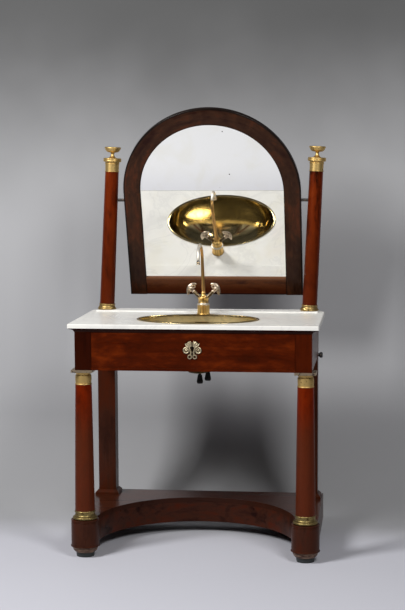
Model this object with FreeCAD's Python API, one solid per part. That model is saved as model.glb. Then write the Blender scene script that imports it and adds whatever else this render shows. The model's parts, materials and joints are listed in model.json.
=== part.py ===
import FreeCAD, Part
import math
import os

# Mahogany washstand with a marble top, a let-in oval basin, a drawer and a swinging mirror.
# Millimetres. The origin is on the floor below the middle of the marble; +X right, +Y back, +Z up.

# Clearances
glue_fit = 0.1            # round tenon in its hole, board in its groove, tenon in its mortise
running_fit = 0.05        # pin that turns in its bore
slide_gap = 0.3           # between a piece that moves and what it rests on

# Marble top
top_width = 860.0
top_depth = 500.0
top_thickness = 15.0
table_height = 817.0      # floor to the upper face of the marble
top_edge_round = 4.0
back_corner_round = 45.0
front_corner_round = 5.0
ledge_height = 4.0        # low raised ledge along the back, which carries the mirror posts
ledge_depth = 80.0
ledge_inset = 5.0         # ledge back from the back edge of the slab
ledge_end_inset = 22.0
ledge_edge_round = 2.5

# Case
side_overhang = 24.0
front_overhang = 12.0
rear_overhang = 7.0
cornice_height = 15.0
cornice_front_projection = 10.0
cornice_side_projection = 20.0
cornice_lip = 2.5
front_rail_depth = 17.0   # upper front rails behind the face of the case
frieze_height = 130.0
corner_size = 57.0        # front corner blocks, square
side_board = 20.0
back_board = 16.0
back_board_inset = 5.0
rail_height = 9.0
rail_depth = 48.0
tenon_length = 12.0
tenon_thickness = 8.0
tenon_shoulder = 15.0
rail_tenon_height = 5.0

# Front columns
column_set_in = 23.0      # column axis in from the side face of the case
column_set_back = 34.0    # column axis back from the front face of the case
column_top_radius = 28.3
column_bottom_radius = 34.3
column_swell = 0.5        # entasis at half height
column_tenon_radius = 12.0
column_tenon_depth = 25.0
base_height = 31.0
base_radius = 37.6
base_torus = 11.0         # height of the lower round of the base
base_step = 1.4
base_step_height = 2.5
base_neck = 0.8           # base wider than the shaft at its top
base_hollow = 1.5         # depth of the hollow of the base
base_fillet = 1.0
base_fillet_height = 4.0
capital_height = 44.0
capital_radius = 28.8
capital_flare = 5.5
capital_foot = 1.0
capital_bead = 2.5        # half height of the ring at the foot of the capital
capital_step = 2.0
capital_step_height = 3.0
capital_bell = 10.0
capital_lip = 2.0
abacus_height = 9.0
abacus_size = 74.0

# Rear legs, whose middles stand under the mirror posts
leg_depth = 57.0
plinth_height = 17.0
plinth_margin = 11.5      # plinth beyond the leg, all round
plinth_bevel = 9.0
leg_tenon_radius = 14.0
leg_tenon_depth = 25.0

# Platform and feet
platform_bottom = 41.0
platform_thickness = 90.0
platform_board = 18.0
platform_wall = 20.0
curved_board = 22.0
platform_rear_overhang = 31.0
recess_margin = 35.0      # concave front in from the column axis, at its ends
recess_set_back = 26.0    # ends of the concave front behind the column axis
recess_back_margin = 112.0 # deepest point of the concave front to the back of the platform
drum_radius = 48.6
drum_lip = 2.0
drum_lip_height = 3.6
drum_proud = 7.6          # drum beyond the side of the platform
drum_groove = 1.2
drum_groove_steps = (5.0, 9.5)
bun_height = 37.0
bun_top_radius = 44.0
bun_belly = 40.0          # bun at the fullest part of its curve
bun_belly_height = 15.5
bun_floor_radius = 29.0
foot_tenon_radius = 12.0
foot_tenon_depth = 20.0
rear_foot_radius = 33.0
rear_foot_floor_radius = 28.0
glue_block_reach = 32.0

# Basin
basin_x = 0.0
basin_side_margin = 220.0 # end of the marble to the outside of the bowl
basin_front_margin = 33.5
basin_back_margin = 191.5
basin_drop = 170.0
basin_wall = 2.4
basin_hole_gap = 0.5
basin_rim = 3.5           # how far the rolled rim lies on the marble
basin_rim_height = 1.8
basin_rim_crest = 1.2     # crest of the rim out from the bowl
basin_flat_margin = 5.0   # flat bottom beyond the flange of the waste
overflow_drop = 27.0
overflow_width = 46.0
overflow_height = 6.0
channel_room = 8.0
channel_wall = 1.5

# Waste
waste_bore = 16.0
waste_wall = 3.5
waste_flange = 29.0
waste_flange_height = 2.5
waste_gasket = 4.0
waste_nut_radius = 35.0
waste_nut_height = 16.0
waste_tail = 3.0
waste_bevel = 2.0

# Tap
tap_set_back = 33.5       # tap axis behind the back of the bowl
tap_drum_radius = 22.0
tap_drum_height = 37.0
tap_gasket = 1.5
tap_foot_step = 1.5
tap_foot_height = 3.0
tap_waist_radius = 18.0
tap_shoulder_radius = 20.0
tap_spool_height = 24.0
tap_cap_height = 14.0
tap_cap_radius = 16.4     # cap at half its height
tap_ring = 3.0            # height of the rings of the drum and the spool
tap_shank_radius = 14.0
tap_shank_length = 52.0
tap_nut_radius = 22.0
tap_nut_height = 12.0
tap_washer = 2.0
arm_angle = 45.0
arm_root = 48.0           # crossing of the arm axes above the marble
arm_length = 48.0
arm_radius = 6.5
spindle_radius = 3.5
spindle_reach = 14.0
handle_thickness = 11.0
handle_boss_radius = 7.5
handle_boss_length = 12.0
handle_head_length = 24.0 # handle along its spindle, from the arm to the crown
handle_beak_length = 26.0
handle_tail_length = 25.0
spout_radius = 5.4        # at the crook
spout_stem_radius = 6.9   # at the foot of the stem
spout_bore = 3.5
spout_spigot_radius = 5.0
spout_spigot_depth = 12.0
spout_rise = 201.0        # marble to the start of the crook
spout_crook = 52.0
spout_collar_radius = 9.0
spout_collar_height = 7.0
spout_rest_turn = -1.0
spout_lean = 1.8          # degrees, stem to the left
nozzle_radius = 6.8
nozzle_length = 15.0
nozzle_groove = 0.9
nozzle_bevel = 1.2
tail_radius = 5.0
tail_bore = 3.0
tail_root_spread = 6.5
tail_spread = 14.5
tail_straight = 45.0
tail_drop_left = 91.0     # tip of the tail below the case
tail_drop_right = 80.0
tail_nut_radius = 11.5
tail_nut_length = 31.0
tail_nut_neck = 2.5       # nut wider than the tail at its top
tail_nut_round = 13.0
tail_socket_radius = 5.5
tail_socket_depth = 12.0

# Drawer
drawer_side_gap = 1.0
drawer_lift = 0.5
drawer_front_board = 12.0
tray_clearance = 12.0     # inner side of a tray from the rim of the basin
tray_back_gap = 82.0      # back of a tray to the back of the case
tray_outer_side = 10.0
tray_inner_side = 8.0
tray_back = 9.0
tray_floor = 5.0
tray_floor_lift = 3.0
tray_groove = 3.0
tray_height = 103.0
tray_outer_gap = 2.0
runner_height = 14.7
runner_reach = 27.0
guide_height = 25.0
stop_width = 40.0
stop_depth = 20.0
stop_height = 5.0
stop_set_in = 44.0        # stop in from the corner block

# Lock and escutcheon
keyhole_height = 82.8     # above the underside of the case
keyhole_radius = 4.0
keyhole_slot = 14.5
keyhole_slot_width = 4.4
lock_half_width = 32.0
lock_below_keyhole = 26.8
lock_recess = 5.0
lock_case_depth = 9.5
lock_plate = 1.5
bolt_half_width = 9.0
bolt_thickness = 3.0
bolt_length = 38.0
bolt_travel = 7.0
mortise_gap = 1.5         # room round the bolt between the upper rails
escutcheon_plate = 2.2
escutcheon_half_width = 32.0
escutcheon_height = 73.0   # its middle above the underside of the case
pin_radius = 1.0
pin_length = 5.0

# Side peg
peg_radius = 10.5
peg_length = 17.0
peg_neck_radius = 6.0
peg_neck_length = 4.0
peg_embed = 12.0
peg_height = 1.0          # above the underside of the case
peg_end_round = 2.0

# Mirror posts
post_set_in = 56.0        # foot of a post in from the end of the marble, with the middle of its leg
post_above_pivot = 194.5  # pivots to the top of the finial
post_lean = 2.7           # degrees, both posts to the right
post_bottom_radius = 27.0
post_top_radius = 24.8
ring_height = 21.5
ring_radius = 33.5
ring_foot_height = 6.0
ring_bevel = 2.0
ring_lip = 2.0            # top of the ring beyond the post
ring_lip_height = 5.0
collar_height = 36.0
collar_radius = 25.6
collar_flange_radius = 33.0
collar_flange_height = 14.0
collar_flange_round = 3.0 # depth of the two rounds of the flange
collar_cone_height = 16.5
collar_cone_rise = 11.5   # hollow part of the cone, below its neck
collar_cone_hollow = 4.2
collar_cone_radius = 25.2
collar_neck_radius = 6.0
collar_bead = 1.2
dish_height = 24.0
dish_radius = 30.0
dish_rim_height = 6.5
dish_rim_round = 2.0
dish_rim_width = 5.0
dish_foot = 3.0
post_tenon_radius = 9.0
post_tenon_length = 24.0
stud_radius = 3.0
stud_length = 11.0
bolt_rod_radius = 6.0
bolt_rod_reach = 80.0     # bolt up into the post
bolt_rod_depth = 90.0     # bolt below the ledge
bolt_hole_gap = 1.0

# Mirror
pivot_rise = 402.0        # ledge to the pivots
mirror_tilt = 21.5        # degrees, top towards the front
mirror_side_gap = 49.5    # edge of the frame in from the foot of a post
mirror_sill_gap = 20.0    # bottom edge above the ledge when the mirror hangs upright
mirror_spring = 30.0      # pivot up to the start of the arch
mirror_band = 62.5
mirror_sill_band = 70.0
mirror_thickness = 18.0
mirror_edge_bevel = 3.0
rebate_width = 8.0
rebate_lip = 8.0
glass_thickness = 4.0
glass_gap = 0.5
cleat_width = 12.0
cleat_length = 28.0
cleat_thickness = 1.6
cleats_per_side = 2
cleats_on_arch = 3
pivot_radius = 5.5
pivot_embed = 28.0
pivot_tail = 12.0
bush_radius = 9.0
bush_reach = 21.5
bush_tail = 14.0

# Levels
slab_under = table_height - top_thickness
case_top = slab_under - cornice_height
case_bottom = case_top - frieze_height
platform_top = platform_bottom + platform_thickness
ledge_top = table_height + ledge_height
pivot_height = ledge_top + pivot_rise
post_height = pivot_rise + post_above_pivot
mirror_sill = pivot_rise - mirror_sill_gap
shaft_bottom = platform_top + base_height
shaft_top = case_bottom - abacus_height - capital_height
keyhole_z = case_bottom + keyhole_height
escutcheon_z = case_bottom + escutcheon_height
spout_seat = table_height + tap_gasket + tap_drum_height + tap_spool_height + tap_cap_height

# Plan
top_front = -top_depth / 2
top_back = top_depth / 2
case_half_width = top_width / 2 - side_overhang
case_front = top_front + front_overhang
case_back = top_back - rear_overhang
block_inner = case_half_width - corner_size
block_back = case_front + corner_size
leg_front = case_back - leg_depth
leg_x = top_width / 2 - post_set_in
leg_inner = 2 * leg_x - case_half_width
leg_y = case_back - leg_depth / 2
column_x = case_half_width - column_set_in
column_y = case_front + column_set_back
platform_half_width = column_x + drum_radius - drum_proud
platform_back = case_back + platform_rear_overhang
recess_half_chord = column_x - recess_margin
recess_chord_y = column_y + recess_set_back
recess_depth = platform_back - recess_back_margin - recess_chord_y
recess_radius = (recess_half_chord ** 2 + recess_depth ** 2) / (2 * recess_depth)
recess_y = recess_chord_y + recess_depth - recess_radius
board_back = case_front + drawer_front_board
basin_half_width = top_width / 2 - basin_side_margin
basin_half_depth = (top_depth - basin_front_margin - basin_back_margin) / 2
basin_y = top_front + basin_front_margin + basin_half_depth
basin_flat = (waste_flange + basin_flat_margin) * basin_half_width / basin_half_depth
tap_y = basin_y + basin_half_depth + tap_set_back
tray_outer = block_inner - tray_outer_gap
tray_inner = basin_x + basin_half_width + basin_rim + tray_clearance
tray_end = case_back - back_board_inset - back_board - tray_back_gap
tray_z = case_bottom + runner_height + slide_gap
drawer_bottom = case_bottom + rail_height + drawer_lift
drawer_top = case_top - drawer_lift
lean_shift = math.tan(math.radians(post_lean)) * pivot_rise
mirror_half_width = leg_x - mirror_side_gap
mirror_x = lean_shift
bowl_squeeze = basin_drop / basin_half_width

pieces = {}


def at(x, y, z):
    """A point."""
    return FreeCAD.Vector(x, y, z)


def block(x0, x1, y0, y1, z0, z1):
    """A box between two opposite corners."""
    return Part.makeBox(x1 - x0, y1 - y0, z1 - z0, at(x0, y0, z0))


def rod(x, y, z0, z1, radius):
    """An upright cylinder."""
    return Part.makeCylinder(radius, z1 - z0, at(x, y, z0))


def stick(start, end, radius):
    """A cylinder between two points."""
    return Part.makeCylinder(radius, (end - start).Length, start, end - start)


def loop(points, lift):
    """A closed wire: each entry is a corner (u, v) or an arc (middle u, middle v, end u, end v)."""
    edges = []
    here = lift(*points[-1][-2:])
    for entry in points:
        there = lift(*entry[-2:])
        if len(entry) == 4:
            edges.append(Part.Arc(here, lift(*entry[:2]), there).toShape())
        else:
            edges.append(Part.makeLine(here, there))
        here = there
    return Part.Wire(edges)


def turned(x, y, points):
    """A turned piece about an upright axis; points are (radius, height)."""
    face = Part.Face(loop(points, lambda r, z: at(x + r, y, z)))
    return face.revolve(at(x, y, 0), at(0, 0, 1), 360)


def slab(points, z0, z1):
    """A board of the given plan outline."""
    face = Part.Face(loop(points, lambda x, y: at(x, y, z0)))
    return face.extrude(at(0, 0, z1 - z0))


def upright(points, y0, y1):
    """A board of the given front outline; points are (x, height)."""
    face = Part.Face(loop(points, lambda x, z: at(x, y0, z)))
    return face.extrude(at(0, y1 - y0, 0))


def oval(x, y, half_width, half_depth, z0, z1):
    """An upright prism with an elliptical plan, its axes along X and Y."""
    centre = at(x, y, z0)
    ends = [at(x + half_width, y, z0), at(x, y + half_depth, z0)]
    ends.sort(key=centre.distanceToPoint)
    curve = Part.Ellipse(ends[1], ends[0], centre)
    return Part.Face(Part.Wire(curve.toShape())).extrude(at(0, 0, z1 - z0))


def reflected(shape):
    """The same piece for the other side of the washstand."""
    return shape.mirror(at(0, 0, 0), at(1, 0, 0))


def group(*shapes):
    """Several separate solids kept under one name."""
    return Part.Compound([solid for shape in shapes for solid in shape.Solids])


def both(*shapes):
    """Pieces made for the right side, with their reflections for the left."""
    return group(*shapes, *[reflected(shape) for shape in shapes])


def grown(x0, x1, y0, y1, z0, z1, gap):
    """A box wider than the given one by a gap on every side."""
    return block(x0 - gap, x1 + gap, y0 - gap, y1 + gap, z0 - gap, z1 + gap)


def rounded_plan(x0, x1, y0, y1, front_round, back_round):
    """A rectangle with its two front corners and its two back corners rounded."""
    k = 1 - math.sqrt(0.5)
    f = front_round
    b = back_round
    return [
        (x1 - f, y0), (x1 - k * f, y0 + k * f, x1, y0 + f),
        (x1, y1 - b), (x1 - k * b, y1 - k * b, x1 - b, y1),
        (x0 + b, y1), (x0 + k * b, y1 - k * b, x0, y1 - b),
        (x0, y0 + f), (x0 + k * f, y0 + k * f, x0 + f, y0),
    ]


def flat_edges(shape, axis, level):
    """The edges of a shape that lie in one plane."""
    tiny = 1e-4
    return [e for e in shape.Edges if all(abs(getattr(v.Point, axis) - level) < tiny for v in e.Vertexes)
            and abs(getattr(e.CenterOfMass, axis) - level) < tiny]


# Platform: top board, curved front, sides, back and rear glue blocks
def make_platform():
    under_top = platform_top - platform_board
    drums = [rod(s * column_x, column_y, 0, platform_top + 1, drum_radius + glue_fit) for s in (-1, 1)]
    tenons = [rod(s * leg_x, leg_y, 0, platform_top + 1, leg_tenon_radius + glue_fit) for s in (-1, 1)]
    hollow = rod(0, recess_y, 0, platform_top + 1, recess_radius)

    top = block(-platform_half_width, platform_half_width, column_y, platform_back, under_top, platform_top)
    pieces["platform_top"] = top.cut([hollow] + drums + tenons)

    wall_x = platform_half_width - platform_wall
    wall_y = platform_back - platform_wall
    ring = rod(0, recess_y, platform_bottom, under_top, recess_radius + curved_board).cut(hollow)
    inside = block(-wall_x, wall_x, column_y, wall_y, platform_bottom, under_top)
    pieces["platform_curved_front"] = ring.common(inside).cut(drums)

    side = block(wall_x, platform_half_width, column_y, wall_y, platform_bottom, under_top)
    back = block(-platform_half_width, platform_half_width, wall_y, platform_back, platform_bottom, under_top)
    pieces["platform_walls"] = group(back, both(side.cut(drums)))

    glue = block(leg_x - glue_block_reach, wall_x, leg_y - glue_block_reach, wall_y,
                 platform_bottom, under_top)
    leg_hole = rod(leg_x, leg_y, under_top - leg_tenon_depth - glue_fit, under_top,
                   leg_tenon_radius + glue_fit)
    foot_hole = rod(leg_x, leg_y, platform_bottom, platform_bottom + foot_tenon_depth + glue_fit,
                    foot_tenon_radius + glue_fit)
    pieces["platform_glue_blocks"] = both(glue.cut([leg_hole, foot_hole]))


# Feet: drums under the columns, buns under the drums, plain turned feet behind
def make_feet():
    body = drum_radius
    lip = drum_radius + drum_lip
    profile = [(0, bun_height), (lip, bun_height), (lip, bun_height + drum_lip_height - drum_lip),
               (body, bun_height + drum_lip_height)]
    for step in sorted(drum_groove_steps, reverse=True):
        z = platform_top - step
        profile += [(body, z - drum_groove), (body - drum_groove, z), (body, z + drum_groove)]
    profile += [(body, platform_top), (0, platform_top)]
    drum = turned(column_x, column_y, profile)
    column_hole = rod(column_x, column_y, platform_top - column_tenon_depth - glue_fit, platform_top,
                      column_tenon_radius + glue_fit)
    bun_hole = rod(column_x, column_y, bun_height, bun_height + foot_tenon_depth + glue_fit,
                   foot_tenon_radius + glue_fit)
    pieces["foot_drums"] = both(drum.cut([column_hole, bun_hole]))

    bun = [(0, 0), (bun_floor_radius, 0), (bun_belly, bun_belly_height, bun_top_radius, bun_height),
           (foot_tenon_radius, bun_height), (foot_tenon_radius, bun_height + foot_tenon_depth),
           (0, bun_height + foot_tenon_depth)]
    pieces["bun_feet"] = both(turned(column_x, column_y, bun))

    top = platform_bottom
    foot = [(0, 0), (rear_foot_floor_radius, 0), (rear_foot_radius, top * 0.5, rear_foot_radius, top),
            (foot_tenon_radius, top), (foot_tenon_radius, top + foot_tenon_depth),
            (0, top + foot_tenon_depth)]
    pieces["rear_feet"] = both(turned(leg_x, leg_y, foot))


# Columns with their brass bases, capitals and abacus plates
def make_columns():
    hole = column_tenon_radius + glue_fit
    tenon = column_tenon_radius
    middle = (column_top_radius + column_bottom_radius) / 2 + column_swell
    low = platform_top - column_tenon_depth
    high = case_bottom + column_tenon_depth
    shaft = [(0, low), (tenon, low), (tenon, shaft_bottom), (column_bottom_radius, shaft_bottom),
             (middle, (shaft_bottom + shaft_top) / 2, column_top_radius, shaft_top),
             (tenon, shaft_top), (tenon, high), (0, high)]
    pieces["columns"] = both(turned(column_x, column_y, shaft))

    z = platform_top
    round_top = z + base_torus
    step = base_radius - base_step
    neck = column_bottom_radius + base_neck
    fillet = shaft_bottom - base_fillet_height
    base = [(hole, z), (base_radius, z),
            (base_radius + base_torus / 2, z + base_torus / 2, base_radius, round_top),
            (step, round_top), (step, round_top + base_step_height),
            ((step + neck) / 2 - base_hollow, (round_top + base_step_height + fillet) / 2, neck, fillet),
            (neck + base_fillet, fillet), (neck + base_fillet, shaft_bottom), (hole, shaft_bottom)]
    pieces["column_bases"] = both(turned(column_x, column_y, base))

    z = shaft_top
    body = capital_radius
    top = z + capital_height
    flare = body + capital_flare
    step = body + capital_step
    bell = top - capital_bell
    bead = z + 2 * capital_bead
    foot = body + capital_foot
    capital = [(hole, z), (foot, z), (foot + capital_bead, z + capital_bead, foot, bead), (body, bead),
               (body, bell - capital_step_height), (step, bell - capital_step_height), (step, bell),
               ((step + flare) / 2 - capital_foot, (bell + top) / 2, flare, top - capital_lip), (flare, top),
               (hole, top)]
    pieces["capitals"] = both(turned(column_x, column_y, capital))

    half = abacus_size / 2
    plate = block(column_x - half, column_x + half, column_y - half, column_y + half, top, case_bottom)
    pieces["abacus_plates"] = both(plate.cut(rod(column_x, column_y, top, case_bottom, hole)))


# Rear legs and their plinths; each leg takes the bolt of a mirror post
def make_rear_legs():
    z0 = platform_top + plinth_height
    leg = block(leg_inner, case_half_width, leg_front, case_back, z0, case_top)
    tenon_end = platform_top - platform_board - leg_tenon_depth
    leg = leg.fuse(rod(leg_x, leg_y, tenon_end, z0, leg_tenon_radius))
    leg = leg.cut([grown(*side_tenons()[1], glue_fit), grown(*back_tenon(), glue_fit)])
    right = leg.cut([post_bolt(1, glue_fit), make_side_peg()])
    left = reflected(leg).cut(post_bolt(-1, glue_fit))
    pieces["rear_legs"] = group(right, left)

    wide = case_half_width - leg_x + plinth_margin
    deep = leg_depth / 2 + plinth_margin
    plinth = block(leg_x - wide, leg_x + wide, leg_y - deep, leg_y + deep, platform_top, z0)
    plinth = plinth.makeChamfer(plinth_bevel, flat_edges(plinth, "z", z0))
    pieces["leg_plinths"] = both(plinth.cut(rod(leg_x, leg_y, platform_top, z0, leg_tenon_radius + glue_fit)))


def side_tenons():
    """The front and back tenons of the right case side, as box limits."""
    x0 = case_half_width - side_board / 2 - tenon_thickness / 2
    z0 = case_bottom + tenon_shoulder
    z1 = case_top - tenon_shoulder
    front = (x0, x0 + tenon_thickness, block_back - tenon_length, block_back, z0, z1)
    back = (x0, x0 + tenon_thickness, leg_front, leg_front + tenon_length, z0, z1)
    return front, back


def back_tenon():
    """The right tenon of the case back, as box limits."""
    y0 = case_back - back_board_inset - back_board / 2 - tenon_thickness / 2
    return (leg_inner, leg_inner + tenon_length, y0, y0 + tenon_thickness,
            case_bottom + tenon_shoulder, case_top - tenon_shoulder)


def rail_tenon():
    """The right tenon of the lower front rail, as box limits."""
    z0 = case_bottom + (rail_height - rail_tenon_height) / 2
    return (block_inner, block_inner + tenon_length, case_front + tenon_thickness,
            case_front + rail_depth - tenon_thickness, z0, z0 + rail_tenon_height)


# Case: corner blocks, sides, back, the lower front rail and the two upper ones, and cornice
def make_case():
    corner = block(block_inner, case_half_width, case_front, block_back, case_bottom, case_top)
    hole = rod(column_x, column_y, case_bottom, case_bottom + column_tenon_depth + glue_fit,
               column_tenon_radius + glue_fit)
    cuts = [hole, grown(*side_tenons()[0], glue_fit), grown(*rail_tenon(), glue_fit)]
    pieces["corner_blocks"] = both(corner.cut(cuts))

    side = block(case_half_width - side_board, case_half_width, block_back, leg_front, case_bottom, case_top)
    side = side.fuse([block(*t) for t in side_tenons()])
    pieces["case_sides"] = both(side)

    y1 = case_back - back_board_inset
    back = block(-leg_inner, leg_inner, y1 - back_board, y1, case_bottom, slab_under)
    tenon = block(*back_tenon())
    pieces["case_back"] = back.fuse([tenon, reflected(tenon)])

    rail = block(-block_inner, block_inner, case_front, case_front + rail_depth, case_bottom,
                 case_bottom + rail_height)
    tenon = block(*rail_tenon())
    upper = block(bolt_half_width + mortise_gap, case_half_width - side_board, mortise_front(),
                  case_front + front_rail_depth, case_top, slab_under)
    pieces["front_rails"] = group(rail.fuse([tenon, reflected(tenon)]), both(upper))


def cornice_profile(face, inner, projection):
    """The hollow moulding: out from the face of the case to the lip under the marble."""
    lip = face + projection
    z1 = slab_under - cornice_lip
    k = 1 - math.sqrt(0.5)
    middle = (face + k * projection, case_top + (1 - k) * (z1 - case_top))
    return [(inner, case_top), (face, case_top), (*middle, lip, z1), (lip, slab_under), (inner, slab_under)]


def make_cornice():
    reach_x = case_half_width + cornice_side_projection
    reach_y = -case_front + cornice_front_projection
    inner_y = -mortise_front()
    inner_x = case_half_width - side_board
    far = 2 * top_width

    profile = cornice_profile(-case_front, inner_y, cornice_front_projection)
    front = Part.Face(loop(profile, lambda v, z: at(-reach_x, -v, z)))
    front = front.extrude(at(2 * reach_x, 0, 0))
    profile = cornice_profile(case_half_width, inner_x, cornice_side_projection)
    side = Part.Face(loop(profile, lambda v, z: at(v, -reach_y, z)))
    side = side.extrude(at(0, reach_y + case_back, 0))

    # The mitre runs from the outer corner to the corner of the case, and on at 45 degrees
    meet_x = case_half_width + case_front + inner_y
    mitre = [(reach_x, -reach_y), (case_half_width, case_front), (meet_x, -inner_y)]
    beyond = slab([*mitre, (far, -inner_y), (far, -reach_y)], 0, table_height)
    before = [*mitre, (0, -inner_y), (0, -reach_y)]
    pieces["cornice_front"] = front.cut([beyond, reflected(beyond)])
    pieces["cornice_sides"] = both(side.cut(slab(before, 0, table_height)))


# Marble slab with its rear ledge and its holes
def make_marble():
    half = top_width / 2
    plan = rounded_plan(-half, half, top_front, top_back, front_corner_round, back_corner_round)
    stone = slab(plan, slab_under, table_height)
    stone = stone.makeFillet(top_edge_round, flat_edges(stone, "z", table_height))
    end = half - ledge_end_inset
    back = top_back - ledge_inset
    plan = rounded_plan(-end, end, back - ledge_depth, back, 3 * ledge_edge_round, back_corner_round / 2)
    ledge = slab(plan, table_height, ledge_top)
    ledge = ledge.makeFillet(ledge_edge_round, flat_edges(ledge, "z", ledge_top))
    hole = basin_half_width + basin_hole_gap
    depth = basin_half_depth + basin_hole_gap
    cuts = [oval(basin_x, basin_y, hole, depth, slab_under, table_height),
            rod(basin_x, tap_y, slab_under, table_height, tap_shank_radius + bolt_hole_gap)]
    cuts += [post_bolt(s, bolt_hole_gap) for s in (-1, 1)]
    pieces["marble_top"] = stone.fuse(ledge).cut(cuts)


# Basin: a half oval bowl hung by its rolled rim, with an overflow down its back
def bowl_low(grow):
    """Height of the flat bottom of a bowl larger than the outside of the real one by a step."""
    radius = basin_half_width + grow
    return table_height - bowl_squeeze * math.sqrt(radius ** 2 - basin_flat ** 2)


def bowl_arc(grow):
    """The side of that bowl as part of a circle, from the brim down to the flat bottom."""
    radius = basin_half_width + grow
    end = math.acos(basin_flat / radius)
    points = [at(radius * math.cos(t), 0, -radius * math.sin(t)) for t in (0, end / 2, end)]
    return Part.Arc(*points).toShape(), points[0], points[2]


def oval_turned(edges):
    """A round turned solid squeezed in depth and height into the oval of the basin, and set in its place."""
    solid = Part.Face(Part.Wire(Part.__sortEdges__(edges))).revolve(at(0, 0, 0), at(0, 0, 1), 360)
    squeeze = FreeCAD.Matrix()
    squeeze.scale(1, basin_half_depth / basin_half_width, bowl_squeeze)
    solid = solid.transformGeometry(squeeze)
    solid.translate(at(basin_x, basin_y, table_height))
    return solid


def bowl_solid(grow):
    """The filled bowl, larger than the outside of the real one by a step."""
    side, brim, corner = bowl_arc(grow)
    middle = at(0, 0, corner.z)
    crown = at(0, 0, 0)
    return oval_turned([side, Part.makeLine(corner, middle), Part.makeLine(middle, crown),
                        Part.makeLine(crown, brim)])


def make_basin():
    outer, brim, outer_corner = bowl_arc(0)
    inner, lip, inner_corner = bowl_arc(-basin_wall)
    outer_low = bowl_low(0)
    inner_low = bowl_low(-basin_wall)
    edge = at(basin_half_width + basin_rim, 0, 0)
    crest = at(basin_half_width + basin_rim_crest, 0, basin_rim_height / bowl_squeeze)
    bowl = oval_turned([outer, inner, Part.makeLine(brim, edge), Part.Arc(edge, crest, lip).toShape(),
                        Part.makeLine(inner_corner, at(0, 0, inner_corner.z)),
                        Part.makeLine(at(0, 0, inner_corner.z), at(0, 0, outer_corner.z)),
                        Part.makeLine(at(0, 0, outer_corner.z), outer_corner)])

    half = overflow_width / 2
    slot_z = table_height - overflow_drop
    slot = block(basin_x - half, basin_x + half, basin_y, tap_y, slot_z - overflow_height / 2,
                 slot_z + overflow_height / 2)
    drain = rod(basin_x, basin_y, outer_low - 1, inner_low + 1, waste_bore + waste_wall + glue_fit)
    pieces["basin_bowl"] = bowl.cut([slot, drain])

    # The overflow channel hugs the back of the bowl from the slot down to the waste
    lid_z = slot_z + overflow_height / 2 + channel_wall
    foot_y = basin_y + waste_nut_radius + 1
    far_y = basin_y + basin_half_depth + 2 * channel_room
    low_z = outer_low - channel_room
    shell = block(basin_x - half - channel_wall, basin_x + half + channel_wall, foot_y, far_y, low_z, lid_z)
    shell = shell.common(bowl_solid(channel_room)).cut(bowl_solid(0))
    room = block(basin_x - half, basin_x + half, foot_y + channel_wall, far_y, low_z, lid_z - channel_wall)
    room = room.common(bowl_solid(channel_room - channel_wall))
    pieces["overflow_channel"] = shell.cut(room)

    tube = waste_bore + waste_wall
    nut_top = outer_low - waste_gasket
    nut_low = nut_top - waste_nut_height
    flange_top = inner_low + waste_flange_height
    profile = [(waste_bore, nut_low - waste_tail), (tube, nut_low - waste_tail), (tube, inner_low),
               (waste_flange, inner_low), (waste_flange - waste_bevel, flange_top),
               (waste_bore + 1, flange_top), (waste_bore, flange_top - 1)]
    pieces["waste_fitting"] = turned(basin_x, basin_y, profile)
    bore = tube + glue_fit
    rim = waste_nut_radius - waste_bevel
    waste_ring = turned(basin_x, basin_y, [(bore, nut_top), (rim, nut_top), (rim, outer_low),
                                           (bore, outer_low)])
    z = table_height + tap_gasket
    hole = tap_shank_radius + glue_fit
    tap_ring = turned(basin_x, tap_y, [(hole, table_height), (tap_drum_radius + 1, table_height),
                                       (tap_drum_radius + 1, z), (hole, z)])
    pieces["gaskets"] = group(waste_ring, tap_ring)
    pieces["waste_nut"] = turned(basin_x, basin_y, [
        (bore, nut_low), (rim, nut_low), (waste_nut_radius, nut_low + waste_bevel),
        (waste_nut_radius, nut_top), (bore, nut_top)])


# Tap: body with two sloping arms, spout, spindles, handles and supply tails
def arm_line(side, reach):
    """A point on the axis of one sloping arm, at a distance from where the two axes cross."""
    angle = math.radians(arm_angle)
    rise = arm_root + reach * math.cos(angle)
    return at(basin_x + side * reach * math.sin(angle), tap_y, table_height + rise)


def across_arm(side, reach, off):
    """A point beside the arm axis: off is measured up and in, square to the axis."""
    angle = math.radians(arm_angle)
    point = arm_line(side, reach)
    return point + at(-side * off * math.cos(angle), 0, off * math.sin(angle))


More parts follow.
